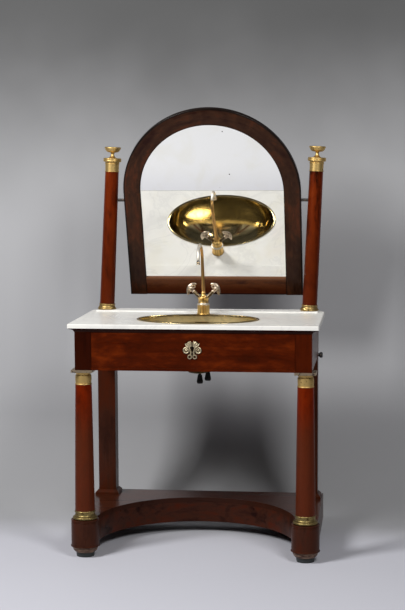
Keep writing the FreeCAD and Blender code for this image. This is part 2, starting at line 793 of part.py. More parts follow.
def make_tap_body():
    z = table_height + tap_gasket
    drum = z + tap_drum_height
    spool = drum + tap_spool_height
    r = tap_drum_radius
    shank = table_height - tap_shank_length
    foot = r + tap_foot_step
    ring = drum - tap_ring
    profile = [(0, shank), (tap_shank_radius, shank), (tap_shank_radius, z), (foot, z),
               (foot, z + tap_foot_height),
               (r, z + tap_foot_height + tap_foot_step), (r, ring), (r + 1, ring), (r + 1, drum),
               (r - tap_ring, drum + 1),
               (tap_waist_radius, (drum + spool) / 2, tap_shoulder_radius, spool - tap_ring),
               (tap_shoulder_radius, spool), 
               (tap_cap_radius, (spool + spout_seat) / 2, spout_collar_radius, spout_seat), (0, spout_seat)]
    body = turned(basin_x, tap_y, profile)
    for side in (-1, 1):
        body = body.fuse(stick(arm_line(side, tap_waist_radius), arm_line(side, arm_length), arm_radius))
    socket = rod(basin_x, tap_y, spout_seat - spout_spigot_depth - slide_gap, spout_seat + tap_ring,
                 spout_spigot_radius + running_fit)
    cuts = [lean_spout(socket)]
    for side in (-1, 1):
        root = arm_line(side, arm_length - spindle_reach - slide_gap)
        cuts.append(stick(root, arm_line(side, arm_length + 1), spindle_radius + running_fit))
        cuts.append(rod(basin_x + side * tail_root_spread, tap_y, shank, shank + 2 * tail_socket_depth,
                        tail_radius + glue_fit))
    pieces["tap_body"] = body.cut(cuts)

    hole = tap_shank_radius + glue_fit
    nut_top = slab_under - tap_washer
    washer = turned(basin_x, tap_y, [(hole, nut_top), (tap_nut_radius, nut_top), (tap_nut_radius, slab_under),
                                     (hole, slab_under)])
    corners = [(basin_x + tap_nut_radius * math.cos(math.radians(60 * i)),
                tap_y + tap_nut_radius * math.sin(math.radians(60 * i))) for i in range(6)]
    nut = slab(corners, nut_top - tap_nut_height, nut_top)
    pieces["tap_back_nut"] = group(washer, nut.cut(rod(basin_x, tap_y, 0, table_height, hole)))


def make_spout():
    foot = spout_seat + 2 * slide_gap
    low = spout_seat - spout_spigot_depth
    crook_z = table_height + spout_rise
    far_y = tap_y - 2 * spout_crook

    def bend(radius):
        ring = Part.Face(Part.Wire(Part.makeCircle(radius, at(basin_x, tap_y, crook_z))))
        return ring.revolve(at(basin_x, tap_y - spout_crook, crook_z), at(1, 0, 0), 180)

    collar = foot + spout_collar_height
    stem = turned(basin_x, tap_y, [
        (0, low), (spout_spigot_radius, low), (spout_spigot_radius, foot), (spout_collar_radius, foot),
        (spout_collar_radius, foot + spout_collar_height / 3), (spout_stem_radius, collar),
        (spout_radius, crook_z), (0, crook_z)])
    bore = rod(basin_x, tap_y, low, crook_z, spout_bore).fuse(bend(spout_bore))
    pieces["spout"] = turn_spout(stem.fuse(bend(spout_radius)).cut(bore))

    end = crook_z - nozzle_length
    ring = crook_z - nozzle_length / 3
    slim = nozzle_radius - nozzle_groove
    profile = [(spout_bore, end), (nozzle_radius - nozzle_bevel, end), (nozzle_radius, end + nozzle_bevel),
               (nozzle_radius, ring), (slim, ring + nozzle_groove), (nozzle_radius, ring + 2 * nozzle_groove),
               (slim, crook_z), (spout_bore, crook_z)]
    pieces["spout_nozzle"] = turn_spout(turned(basin_x, far_y, profile))


def lean_spout(shape):
    """Lean a piece of the spout, or its socket, to the left about its seat on the tap."""
    leaned = shape.copy()
    leaned.rotate(at(basin_x, tap_y, spout_seat), at(0, 1, 0), -spout_lean)
    return leaned


def turn_spout(shape):
    """Swing a piece of the spout about its stem to where it stands at rest, and lean it."""
    swung = shape.copy()
    swung.rotate(at(basin_x, tap_y, 0), at(0, 0, 1), spout_rest_turn)
    return lean_spout(swung)


def make_handles():
    """A lever shaped like a bird's head on each arm, its beak turned up and in, on a spindle in the arm."""
    tip = arm_length + slide_gap
    crown = tip + handle_head_length
    boss = handle_boss_radius
    beak = handle_beak_length
    tail = handle_tail_length
    low = tip + handle_head_length * 0.25
    middle = tip + handle_head_length * 0.5
    outline = [(tip, boss), (low, boss), (low + 1, beak * 0.5, middle, beak * 0.8), (middle + 3, beak),
               (crown - 2, beak * 0.6, crown, 0), (crown - 3, -tail * 0.55, low + 2, -tail),
               (low - 1, -tail * 0.8), (middle - 3, -tail * 0.6, low, -boss), (tip, -boss)]
    half = handle_thickness / 2
    lever = Part.Face(loop(outline, lambda u, v: across_arm(1, u, v) - at(0, half, 0)))
    lever = lever.extrude(at(0, handle_thickness, 0))
    lever = lever.fuse(stick(arm_line(1, tip), arm_line(1, tip + handle_boss_length), boss))
    inner_end = arm_line(1, arm_length - spindle_reach)
    outer_end = arm_line(1, tip + handle_boss_length)
    lever = lever.cut(stick(inner_end, outer_end, spindle_radius + glue_fit))
    spindle = stick(inner_end, outer_end, spindle_radius)
    for name, shape in (("tap_handle", lever), ("tap_spindle", spindle)):
        pieces[name + "_right"] = shape
        pieces[name + "_left"] = shape.mirror(at(basin_x, 0, 0), at(1, 0, 0))


def make_tails():
    shank = table_height - tap_shank_length
    tails = []
    nuts = []
    for side, drop in ((-1, tail_drop_left), (1, tail_drop_right)):
        tip = case_bottom - drop
        nut_top = tip + tail_nut_length
        seat = tip + tail_socket_depth
        top = at(basin_x + side * tail_root_spread, tap_y, shank + 2 * tail_socket_depth)
        leave = at(basin_x + side * tail_root_spread, tap_y, shank - tail_radius)
        elbow = at(basin_x + side * tail_spread, tap_y, nut_top + tail_straight)
        foot = at(basin_x + side * tail_spread, tap_y, seat)

        def pipe(radius):
            runs = [stick(leave, elbow, radius), stick(elbow, foot, radius),
                    Part.makeSphere(radius, leave), Part.makeSphere(radius, elbow)]
            return stick(top, leave, radius).fuse(runs)

        tails.append(pipe(tail_radius).cut(pipe(tail_bore)))
        x = basin_x + side * tail_spread
        bore = tail_radius + glue_fit
        r = tail_nut_radius
        profile = [(tail_socket_radius, tip), (r - tail_nut_neck, tip),
                   (r, tip + tail_nut_round / 2, r - 1, tip + tail_nut_round),
                   (tail_radius + tail_nut_neck, nut_top),
                   (bore, nut_top), (bore, seat), (tail_socket_radius, seat)]
        nuts.append(turned(x, tap_y, profile))
    pieces["supply_tails"] = group(*tails)
    pieces["tail_nuts"] = group(*nuts)


# Drawer: one front with a tray on each side of the basin, and its runners and stops
def make_drawer():
    half = block_inner - drawer_side_gap
    front = block(-half, half, case_front, board_back, drawer_bottom, drawer_top)
    keyway = keyhole_cut(case_front - 1, board_back + 1)
    pocket = block(-lock_half_width - glue_fit, lock_half_width + glue_fit, board_back - lock_recess,
                   board_back, keyhole_z - lock_below_keyhole - glue_fit, drawer_top)
    pieces["drawer_front"] = front.cut([keyway, pocket] + escutcheon_pins(glue_fit))

    z1 = tray_z + tray_height
    floor_z = tray_z + tray_floor_lift
    inside = (tray_inner + tray_inner_side, tray_outer - tray_outer_side)
    groove = block(inside[0] - tray_groove, inside[1] + tray_groove, board_back, tray_end,
                   floor_z - glue_fit, floor_z + tray_floor + glue_fit)
    outer = block(inside[1], tray_outer, board_back, tray_end, tray_z, z1)
    inner = block(tray_inner, inside[0], board_back, tray_end, tray_z, z1)
    back = block(inside[0], inside[1], tray_end - tray_back, tray_end, floor_z + tray_floor + glue_fit, z1)
    floor = block(inside[0] - tray_groove + glue_fit, inside[1] + tray_groove - glue_fit,
                  board_back, tray_end, floor_z, floor_z + tray_floor)
    pieces["tray_sides"] = both(outer.cut(groove), inner.cut(groove))
    pieces["tray_backs"] = both(back)
    pieces["tray_floors"] = both(floor)

    wall = case_half_width - side_board
    bearing = block(tray_outer - runner_reach, wall, block_back, leg_front, case_bottom,
                    case_bottom + runner_height)
    guide = block(tray_outer + 2 * slide_gap, wall, block_back, leg_front, case_bottom,
                  case_bottom + runner_height + guide_height)
    pieces["drawer_runners"] = both(bearing.fuse(guide).removeSplitter())

    z = case_bottom + rail_height
    end = block_inner - stop_set_in
    stop = block(end - stop_width, end, board_back + slide_gap, board_back + slide_gap + stop_depth,
                 z, z + stop_height)
    pieces["drawer_stops"] = group(stop, reflected(stop))


def keyhole_cut(y0, y1):
    """A keyhole from front to back: a round eye above a slot."""
    eye = stick(at(0, y0, keyhole_z), at(0, y1, keyhole_z), keyhole_radius)
    half = keyhole_slot_width / 2
    return eye.fuse(block(-half, half, y0, y1, keyhole_z - keyhole_slot, keyhole_z))


# Lock and escutcheon
def bolt_y():
    """The front face of the lock bolt."""
    return board_back - lock_recess + lock_plate + slide_gap


def mortise_front():
    """The back of the cornice moulding, which is the front of the room for the lock bolt."""
    return bolt_y() - mortise_gap


def make_lock():
    y0 = board_back - lock_recess
    y1 = y0 + lock_case_depth
    z0 = keyhole_z - lock_below_keyhole
    p = lock_plate
    case = block(-lock_half_width, lock_half_width, y0, y1, z0, drawer_top)
    case = case.cut(block(-lock_half_width + p, lock_half_width - p, y0, y1 - p, z0 + p, drawer_top - p))
    gap = slide_gap
    slot = block(-bolt_half_width - gap, bolt_half_width + gap, bolt_y() - gap,
                 bolt_y() + bolt_thickness + gap, drawer_top - 2 * p, drawer_top)
    pin = stick(at(0, y0, keyhole_z), at(0, y1 - p, keyhole_z), pin_radius)
    pieces["lock_case"] = case.cut(slot).fuse(pin)
    top = drawer_top - slide_gap
    pieces["lock_bolt"] = block(-bolt_half_width, bolt_half_width, bolt_y(), bolt_y() + bolt_thickness,
                                top - bolt_length, top)


def escutcheon_pins(gap):
    """Three small pins through the escutcheon into the drawer front."""
    w = escutcheon_half_width
    places = [(-0.6 * w, 0), (0.6 * w, 0), (0, -0.62 * w)]
    return [stick(at(x, case_front - escutcheon_plate, escutcheon_z + z),
                  at(x, case_front - escutcheon_plate + pin_length, escutcheon_z + z), pin_radius + gap)
            for x, z in places]


def make_escutcheon():
    w = escutcheon_half_width

    def disc(x, z, radius):
        return stick(at(x * w, case_front - escutcheon_plate, escutcheon_z + z * w),
                     at(x * w, case_front, escutcheon_z + z * w), radius * w)

    plate = disc(0, 0, 0.5)
    parts = []
    cuts = [keyhole_cut(case_front - 2 * escutcheon_plate, case_front + 1)]
    for s in (-1, 1):
        parts += [disc(s * 0.3, 0.56, 0.42), disc(s * 0.6, -0.02, 0.4), disc(s * 0.27, -0.7, 0.26),
                  disc(s * 0.66, 0.62, 0.12), disc(s * 0.1, -0.4, 0.3)]
        cuts += [disc(s * 0.27, -0.72, 0.11), disc(s * 0.36, 0.28, 0.07), disc(s * 0.38, -0.42, 0.09)]
    pieces["escutcheon"] = plate.fuse(parts).cut(cuts + escutcheon_pins(glue_fit))
    pieces["escutcheon_pins"] = group(*escutcheon_pins(0))


def make_side_peg():
    """Make the turned peg of the right rear leg, and give back its hole."""
    r = peg_radius
    n = peg_neck_radius
    end = peg_length
    edge = peg_end_round
    profile = [(0, -peg_embed), (n, -peg_embed), (n, peg_neck_length), (r - edge, peg_neck_length + edge),
               (r, peg_neck_length + 2 * edge), (r, end - 2 * edge), (r - edge, end - edge / 2),
               (r - 2 * edge, end), (0, end)]
    peg = turned(0, 0, profile)
    peg.rotate(at(0, 0, 0), at(0, 1, 0), 90)
    root = at(case_half_width, leg_y, case_bottom + peg_height)
    peg.translate(root)
    pieces["side_peg"] = peg
    return stick(root - at(peg_embed + glue_fit, 0, 0), root, n + glue_fit)


# Mirror posts, which lean together to the right
def leaning(side, shape):
    """Lean a piece of a post, made upright, about the foot of that post."""
    leaned = shape.copy()
    leaned.rotate(at(side * leg_x, leg_y, ledge_top), at(0, 1, 0), post_lean)
    return leaned


def post_bolt(side, gap):
    """The bolt that holds a post down to its rear leg, or its hole when a gap is given."""
    low = ledge_top - bolt_rod_depth - gap
    high = ledge_top + bolt_rod_reach + gap
    return leaning(side, rod(side * leg_x, leg_y, low, high, bolt_rod_radius + gap))


def post_levels():
    """Heights up a post: top of the ring, of the shaft, of the collar piece and of the finial."""
    ring = ledge_top + ring_height
    top = ledge_top + post_height
    collar_top = top - dish_height
    shaft = collar_top - collar_cone_height - collar_flange_height - collar_height
    return ring, shaft, collar_top, top


def make_posts():
    ring, shaft, collar_top, top = post_levels()
    cone = collar_top - collar_cone_height
    flange = cone - collar_flange_height
    hole = bolt_rod_radius + glue_fit
    sunk = ledge_top - ring_radius * math.tan(math.radians(post_lean)) - 1
    floor = block(-top_width, top_width, -top_depth, top_depth, sunk - ring_height, ledge_top)
    made = {"post_rings": [], "posts": [], "pivot_bushes": [], "post_collars": [], "finial_dishes": []}
    for side in (-1, 1):
        x = side * leg_x
        y = leg_y
        wide = ring_radius
        slim = post_bottom_radius
        foot = ledge_top + ring_foot_height
        lip = slim + ring_lip
        neck = ring - ring_lip_height
        base = turned(x, y, [(hole, sunk), (wide, sunk), (wide, foot), (wide - ring_bevel, foot + ring_bevel),
                             (slim + 1.5, (foot + neck) / 2 + 1, slim + 1.2, neck), (lip, neck), (lip, ring),
                             (hole, ring)])
        made["post_rings"].append(leaning(side, base).cut(floor))

        tenon = post_tenon_radius
        body = turned(x, y, [(0, ring), (slim, ring), (post_top_radius, shaft), (tenon, shaft),
                             (tenon, shaft + post_tenon_length), (0, shaft + post_tenon_length)])
        axis_x = x + lean_shift
        bush_in = at(axis_x + side * bush_tail, y, pivot_height)
        bush_out = at(axis_x - side * bush_reach, y, pivot_height)
        mouth = at(axis_x - side * 2 * post_bottom_radius, y, pivot_height)
        body = leaning(side, body).cut([post_bolt(side, glue_fit), stick(bush_in, mouth, bush_radius)])
        made["posts"].append(body)
        bush = stick(bush_in, bush_out, bush_radius - glue_fit)
        made["pivot_bushes"].append(bush.cut(stick(bush_in, bush_out, pivot_radius + running_fit)))

        r = collar_radius
        neck = collar_neck_radius
        rim = collar_flange_radius
        bead = collar_bead
        edge = rim - collar_flange_round
        middle = (flange + cone) / 2
        quarter = collar_flange_height / 4
        cap = turned(x, y, [(0, shaft), (r, shaft), (r + bead, shaft + bead), (r, shaft + 2 * bead),
                            (r, flange - 6 * bead), (r + bead, flange - 5 * bead), (r, flange - 4 * bead),
                            (r, flange), (edge, flange),
                            (rim, flange + quarter, rim - collar_flange_round / 2, middle),
                            (rim, middle + quarter, edge, cone), (collar_cone_radius, cone),
                            (neck + collar_cone_hollow, cone + collar_cone_hollow,
                             neck, cone + collar_cone_rise), (neck, collar_top), (0, collar_top)])
        cuts = [rod(x, y, shaft, shaft + post_tenon_length + glue_fit, tenon + glue_fit),
                rod(x, y, collar_top - stud_length - glue_fit, collar_top, stud_radius + glue_fit)]
        made["post_collars"].append(leaning(side, cap.cut(cuts)))

        d = dish_radius
        rim_low = top - dish_rim_height
        dish = turned(x, y, [(0, collar_top - stud_length), (stud_radius, collar_top - stud_length),
                             (stud_radius, collar_top), (neck, collar_top),
                             (neck + 1, collar_top + dish_foot),
                             (d * 0.8, collar_top + 2 * dish_foot, d - dish_rim_round, rim_low),
                             (d, top - dish_rim_height / 2, d - dish_rim_round, top),
                             (d - dish_rim_width, top),
                             (d * 0.6, top - 0.7 * dish_rim_height),
                             (0, top - dish_rim_height)])
        made["finial_dishes"].append(leaning(side, dish))
    for name, shapes in made.items():
        pieces[name] = group(*shapes)
    pieces["post_bolts"] = group(post_bolt(-1, 0), post_bolt(1, 0))


# Mirror: frame in four lengths, glass, backboard, cleats and pivot rods
def arch_outline(half_width, low, centre):
    """The front outline of an upright panel with a round head."""
    x0 = mirror_x - half_width
    x1 = mirror_x + half_width
    return [(x1, low), (x1, centre), (mirror_x, centre + half_width, x0, centre), (x0, low)]


def tilted(shape):
    """Tilt a piece of the mirror, made upright, about the pivots."""
    swung = shape.copy()
    swung.rotate(at(0, leg_y, pivot_height), at(1, 0, 0), mirror_tilt)
    return swung


def make_mirror():
    low = pivot_height - mirror_sill
    spring = pivot_height + mirror_spring
    front = leg_y - mirror_thickness / 2
    back = leg_y + mirror_thickness / 2
    sight = mirror_half_width - mirror_band
    sight_low = low + mirror_sill_band
    glass_front = front + rebate_lip
    room = sight + rebate_width
    room_low = sight_low - rebate_width

    frame = upright(arch_outline(mirror_half_width, low, spring), front, back)
    frame = frame.cut(upright(arch_outline(sight, sight_low, spring), front, back))
    frame = frame.makeChamfer(mirror_edge_bevel, flat_edges(frame, "y", front))
    frame = frame.cut(upright(arch_outline(room, room_low, spring), glass_front, back))
    holes = []
    rods = []
    for side in (-1, 1):
        edge_x = mirror_x + side * mirror_half_width
        end = at(edge_x - side * pivot_embed, leg_y, pivot_height)
        tail = at(side * leg_x + lean_shift + side * pivot_tail, leg_y, pivot_height)
        rods.append(stick(end, tail, pivot_radius))
        holes.append(stick(at(edge_x - side * (pivot_embed + glue_fit), leg_y, pivot_height), tail,
                           pivot_radius + running_fit))
    frame = frame.cut(holes)

    wide = mirror_half_width + 1
    top = spring + wide
    y0 = front - 1
    y1 = back + 1
    head = block(mirror_x - wide, mirror_x + wide, y0, y1, spring, top)
    sill = block(mirror_x - sight, mirror_x + sight, y0, y1, low - 1, spring)
    left = block(mirror_x - wide, mirror_x - sight, y0, y1, low - 1, spring)
    right = block(mirror_x + sight, mirror_x + wide, y0, y1, low - 1, spring)
    pieces["mirror_arch"] = tilted(frame.common(head))
    pieces["mirror_sill"] = tilted(frame.common(sill))
    pieces["mirror_stiles"] = tilted(group(frame.common(left), frame.common(right)))

    fit = room - glass_gap
    fit_low = room_low + glass_gap
    glass_back = glass_front + glass_thickness
    pieces["mirror_glass"] = tilted(upright(arch_outline(fit, fit_low, spring), glass_front, glass_back))
    pieces["mirror_backboard"] = tilted(upright(arch_outline(fit, fit_low, spring), glass_back, back))

    cleats = []
    half = cleat_width / 2
    for side in (-1, 1):
        for i in range(cleats_per_side):
            z = sight_low + (spring - sight_low) * (i + 0.5) / cleats_per_side
            x = mirror_x + side * room
            cleats.append(block(x - cleat_length / 2, x + cleat_length / 2, back, back + cleat_thickness,
                                z - half, z + half))
    for i in range(cleats_on_arch):
        turn = 180.0 * (i + 0.5) / cleats_on_arch
        cleat = block(mirror_x + room - cleat_length / 2, mirror_x + room + cleat_length / 2, back,
                      back + cleat_thickness, spring - half, spring + half)
        cleat.rotate(at(mirror_x, 0, spring), at(0, -1, 0), turn)
        cleats.append(cleat)
    bottom = block(mirror_x - half, mirror_x + half, back, back + cleat_thickness,
                   room_low - cleat_length / 2, room_low + cleat_length / 2)
    pieces["backboard_cleats"] = tilted(group(*cleats, bottom))
    pieces["pivot_rods"] = group(*rods)


make_platform()
make_feet()
make_columns()
make_rear_legs()
make_case()
make_cornice()
make_marble()
make_basin()
make_tap_body()
make_spout()
make_handles()
make_tails()
make_drawer()
make_lock()
make_escutcheon()
make_posts()
make_mirror()

os.makedirs("parts", exist_ok=True)
for name, shape in pieces.items():
    shape.exportStep(os.path.join("parts", name + ".step"))
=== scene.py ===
import bpy
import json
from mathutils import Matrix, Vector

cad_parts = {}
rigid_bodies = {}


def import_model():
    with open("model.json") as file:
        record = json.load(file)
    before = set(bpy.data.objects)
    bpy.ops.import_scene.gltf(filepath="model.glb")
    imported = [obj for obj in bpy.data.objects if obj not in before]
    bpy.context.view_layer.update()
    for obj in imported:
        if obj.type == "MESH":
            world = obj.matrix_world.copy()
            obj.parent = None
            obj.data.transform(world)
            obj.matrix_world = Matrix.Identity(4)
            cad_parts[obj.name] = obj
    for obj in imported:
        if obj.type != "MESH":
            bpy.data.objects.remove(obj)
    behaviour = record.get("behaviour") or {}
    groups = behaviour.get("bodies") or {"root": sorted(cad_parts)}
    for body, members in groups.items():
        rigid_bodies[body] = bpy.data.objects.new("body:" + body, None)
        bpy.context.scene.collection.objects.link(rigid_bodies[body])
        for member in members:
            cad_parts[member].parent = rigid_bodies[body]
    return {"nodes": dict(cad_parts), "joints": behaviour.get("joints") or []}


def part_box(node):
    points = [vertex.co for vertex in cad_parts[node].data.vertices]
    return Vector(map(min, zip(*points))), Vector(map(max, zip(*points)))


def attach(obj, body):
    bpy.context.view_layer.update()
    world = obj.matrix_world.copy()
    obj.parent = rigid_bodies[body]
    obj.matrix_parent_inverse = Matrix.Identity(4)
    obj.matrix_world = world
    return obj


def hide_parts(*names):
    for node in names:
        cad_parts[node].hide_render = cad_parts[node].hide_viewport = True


for spare in list(bpy.data.objects):
    bpy.data.objects.remove(spare)
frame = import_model()

import json
import math

import bmesh
import numpy as np
from bpy.props import FloatProperty, FloatVectorProperty, IntProperty, PointerProperty
from bpy.types import Operator, Panel, PropertyGroup
from mathutils import Matrix, Vector

bl_info = {
    "name": "Washstand looks",
    "version": (1, 0, 0),
    "blender": (4, 5, 0),
    "location": "View3D > Sidebar > Washstand",
    "description": "Dresses the solids of a mahogany washstand with turned work, metal, stone and glass",
    "category": "Object",
}

mm = 0.001
half_root = math.sqrt(0.5)
sides = (-1, 1)
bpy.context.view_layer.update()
joints = {joint["name"]: joint for joint in frame["joints"]}
pivot = Vector(joints["mirror_tilt"]["pos_m"])
spout_seat = Vector(joints["spout_swivel"]["pos_m"])
spout_axis = Vector(joints["spout_swivel"]["axis"])
arm_crossing = Vector(joints["tap_turn_right"]["pos_m"])
ledge_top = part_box("marble_top")[1].z


# Settings that a user would change

def colour(name, description, *default):
    """A colour setting."""
    return FloatVectorProperty(name=name, description=description, default=default, subtype="COLOR",
                               size=3, min=0.0, max=1.0)


def amount(name, description, default, unit="NONE"):
    """A number setting that can't go below zero."""
    return FloatProperty(name=name, description=description, default=default, unit=unit, min=0.0)


def length(name, description, millimetres):
    """A length setting, given in millimetres and kept in metres."""
    return amount(name, description, millimetres * mm, "LENGTH")


def angle(name, description, degrees):
    """An angle setting, given in degrees and kept in radians."""
    return FloatProperty(name=name, description=description, default=math.radians(degrees), subtype="ANGLE")


class WoodSettings(PropertyGroup):
    """Colours of the polished mahogany and of the plain wood inside."""
    shadow: colour("Shadow", "Darkest streaks of the mahogany", 0.014, 0.0024, 0.0006)
    body: colour("Body", "Main colour of the mahogany", 0.064, 0.0074, 0.0008)
    flame: colour("Flame", "Brightest figure of the mahogany", 0.155, 0.0210, 0.0020)
    brown: colour("Brown", "Browner wood low down and at the back", 0.046, 0.0125, 0.0055)
    left_block: colour("Left block", "Dark wood of the left corner block", 0.007, 0.0010, 0.0003)
    column_foot: colour("Column foot", "Brown that the columns fade to below", 0.068, 0.0185, 0.0070)
    post_foot: colour("Post foot", "Duller red that the posts fade to below", 0.060, 0.0085, 0.0016)
    band: colour("Band", "Main colour of the mirror frame", 0.031, 0.0112, 0.0046)
    sill: colour("Sill", "Lighter wood of the sill", 0.080, 0.0230, 0.0060)
    sill_foot: colour("Sill foot", "Dark wood along the bottom of the sill", 0.030, 0.0030, 0.0006)
    # Painted highlight: the lighter band along the sill's bevel at the glass
    sill_bevel_highlight: colour("Sill edge", "Worn edge of the sill at the glass", 0.130, 0.0550, 0.0260)
    # Colour of the black outer and inner edges of the mirror frame
    frame_edge_black: colour("Soot", "Blackened edges of the mirror frame", 0.004, 0.003, 0.0025)
    scuff: colour("Scuff", "Pale scuffs of the bun feet", 0.220, 0.1350, 0.0850)
    # Colour of the bun feet below their waist
    dark_below_waist: colour("Dirt", "Blackened lower part of the bun feet", 0.030, 0.0340, 0.0330)
    plain: colour("Plain wood", "Wood of the drawer trays, the runners and the backs", 0.200, 0.1000, 0.0450)
    edge_width: length("Dark edge", "Width of the blackened edge of the mirror frame", 8)


class MetalSettings(PropertyGroup):
    """Colours of the brass, the plating, the iron and the leather washers."""
    gilt: colour("Gilt", "Worn gilding of the column and post mounts", 0.580, 0.400, 0.150)
    tarnish: colour("Tarnish", "Darkened metal in hollows and worn places", 0.120, 0.075, 0.028)
    abacus: colour("Abacus", "Gilding of the plates over the capitals", 0.460, 0.360, 0.250)
    abacus_worn: colour("Abacus wear", "Worn places of those plates", 0.060, 0.045, 0.040)
    bowl: colour("Bowl", "Polished brass of the basin", 0.640, 0.510, 0.260)
    stain: colour("Stain", "Worn places of the brass under the basin", 0.050, 0.035, 0.020)
    gold: colour("Tap gold", "Yellow metal of the tap", 0.860, 0.560, 0.190)
    bronze: colour("Spout bronze", "Stem of the spout", 0.700, 0.400, 0.140)
    silver: colour("Tap silver", "Worn plating of the tap", 0.720, 0.670, 0.580)
    lever: colour("Lever", "Rough cast metal of the levers", 0.680, 0.550, 0.410)
    arm: colour("Arm", "Dark metal of the arms of the tap", 0.200, 0.150, 0.090)
    plate: colour("Plate", "Pale brass of the escutcheon", 0.560, 0.470, 0.310)
    # Painted shade: the dark ground stands in for the shaded openings of the pierced escutcheon
    ground: colour("Ground", "Dark ground between the scrolls of the escutcheon", 0.040, 0.026, 0.014)
    ground_worn: colour("Ground wear", "Worn places of that ground", 0.020, 0.012, 0.007)
    iron: colour("Iron", "Rods, lock and bolts", 0.050, 0.045, 0.042)
    peg: colour("Peg", "Grey peg on the side", 0.045, 0.045, 0.045)
    pipe: colour("Pipe", "Blackened supply pipes", 0.010, 0.009, 0.009)
    leather: colour("Leather", "Washers under the tap and the waste", 0.030, 0.020, 0.014)


class StoneSettings(PropertyGroup):
    """Colours of the marble and of the old mirror."""
    white: colour("White", "Ground of the marble", 0.800, 0.785, 0.740)
    cloud: colour("Cloud", "Grey clouds of the marble", 0.620, 0.610, 0.590)
    blush: colour("Blush", "Faint warm patches of the marble", 0.780, 0.690, 0.620)
    # Painted shade: a grey line along the rounded front edge of the marble
    edge: colour("Worn edge", "Grey line along the front edge of the marble", 0.220, 0.200, 0.170)
    silvering: colour("Silvering", "Reflection of the mirror", 0.930, 0.930, 0.915)
    speck: colour("Speck", "Dark specks of the mirror", 0.050, 0.045, 0.040)


class TurnedSettings(PropertyGroup):
    """Sizes of the turned work that the solids do not give."""
    column_top: length("Column top radius", "Radius of a column under its capital", 28.3)
    column_swell: length("Column swell", "Fullness of a column at half height", 0.5)
    post_spread: length("Post spread", "Foot of each post from the middle", 374.0)
    post_foot: length("Post foot radius", "Radius of a post above its ring", 27.0)
    post_head: length("Post head radius", "Radius of a post under its collar", 24.8)
    around: IntProperty(name="Facets", description="Facets round a turned piece", default=72, min=12, max=256)


class MirrorSettings(PropertyGroup):
    """Sizes of the mirror frame, as it is before it is tilted."""
    tilt: angle("Tilt", "Rest tilt of the mirror, top to the front", 21.5)
    half_width: length("Half width", "Middle to the outer edge of the frame", 324.5)
    band: length("Band", "Width of the arch and the stiles", 62.5)
    sill_band: length("Sill band", "Height of the sill", 70.0)
    sill_drop: length("Sill drop", "Pivots down to the bottom edge", 382.0)
    spring: length("Spring", "Pivots up to the start of the arch", 30.0)
    thickness: length("Thickness", "Front to back of the frame", 18.0)
    edge: length("Edge", "Rounding of the front edges", 3.0)
    lip: length("Lip", "Wood in front of the glass", 8.0)
    rebate: length("Rebate", "Width of the step that holds the glass", 8.0)


class StageSettings(PropertyGroup):
    """Camera, lamps, floor and backdrop."""
    eye: FloatVectorProperty(name="Eye", description="Place of the camera", subtype="TRANSLATION", size=3,
                             default=(0.6583, -5.4391, 1.4192))
    yaw: angle("Yaw", "Camera turned to the left", 6.825)
    pitch: angle("Pitch", "Camera turned down", 5.828)
    roll: angle("Roll", "Camera rolled to the right", -0.27)
    lens: amount("Lens", "Focal length on a 36 mm frame height", 91.97, "CAMERA")
    key: amount("Left lamp", "Power of the front left lamp", 106.0, "POWER")
    fill: amount("Right lamp", "Power of the front right lamp", 54.0, "POWER")
    key_turn: angle("Left lamp turn", "Left lamp round from the front", -43)
    fill_turn: angle("Right lamp turn", "Right lamp round from the front", 33)
    lamp_rise: angle("Lamp rise", "Slope from the aim up to the lamps", 38)
    lamp_distance: length("Lamp distance", "Lamps from the aim", 3300)
    lamp_width: length("Lamp width", "Width of a lamp", 900)
    lamp_height: length("Lamp height", "Height of a lamp", 1100)
    aim: length("Aim", "Height of the point that the lamps face", 750)
    air: amount("Air", "Brightness of the room as a light", 0.005)
    room: amount("Room", "Brightness of the room as the eye sees it", 0.14)
    glint: amount("Glint", "Brightness of the room in metal and glass", 0.07)
    room_tint: colour("Room tint", "Colour of the room", 0.95, 0.96, 1.0)
    # Painted light: the apron is paler than the floor, a pool of light near the lamps
    lit_apron: colour("Apron", "Bright floor in front, which the mirror shows", 0.72, 0.72, 0.74)
    floor: colour("Floor", "Pale floor", 0.56, 0.56, 0.61)
    wall: colour("Wall", "Grey backdrop", 0.42, 0.42, 0.43)
    # Painted shade: the wall darkens upwards as the lamps' light falls off, and the far front end is the
    # unlit room
    painted_shade: colour("Dusk", "Dark upper part and dark front end of the backdrop", 0.10, 0.10, 0.10)


class WashstandSettings(PropertyGroup):
    """All settings of the washstand."""
    wood: PointerProperty(type=WoodSettings, name="Wood", description="Wood finishes")
    metal: PointerProperty(type=MetalSettings, name="Metal", description="Metal finishes")
    stone: PointerProperty(type=StoneSettings, name="Stone", description="Marble and mirror finishes")
    turned: PointerProperty(type=TurnedSettings, name="Turned work", description="Turned sizes")
    mirror: PointerProperty(type=MirrorSettings, name="Mirror", description="Mirror frame sizes")
    stage: PointerProperty(type=StageSettings, name="Stage", description="Camera and lamps")


# Shader maths

class Value:
    """An output of a shader node. Arithmetic on it adds Math nodes."""

    def __init__(self, nodes, socket):
        self.nodes = nodes
        self.socket = socket

    def math(self, operation, *terms):
        return self.nodes.node("ShaderNodeMath", {"operation": operation}, dict(enumerate(terms)))

    def __abs__(self):
        return self.math("ABSOLUTE", self)

    def __add__(self, other):
        return self.math("ADD", self, other)

    def __sub__(self, other):
        return self.math("SUBTRACT", self, other)

    def __rsub__(self, other):
        return self.math("SUBTRACT", other, self)

    def __mul__(self, other):
        return self.math("MULTIPLY", self, other)

    __radd__ = __add__
    __rmul__ = __mul__


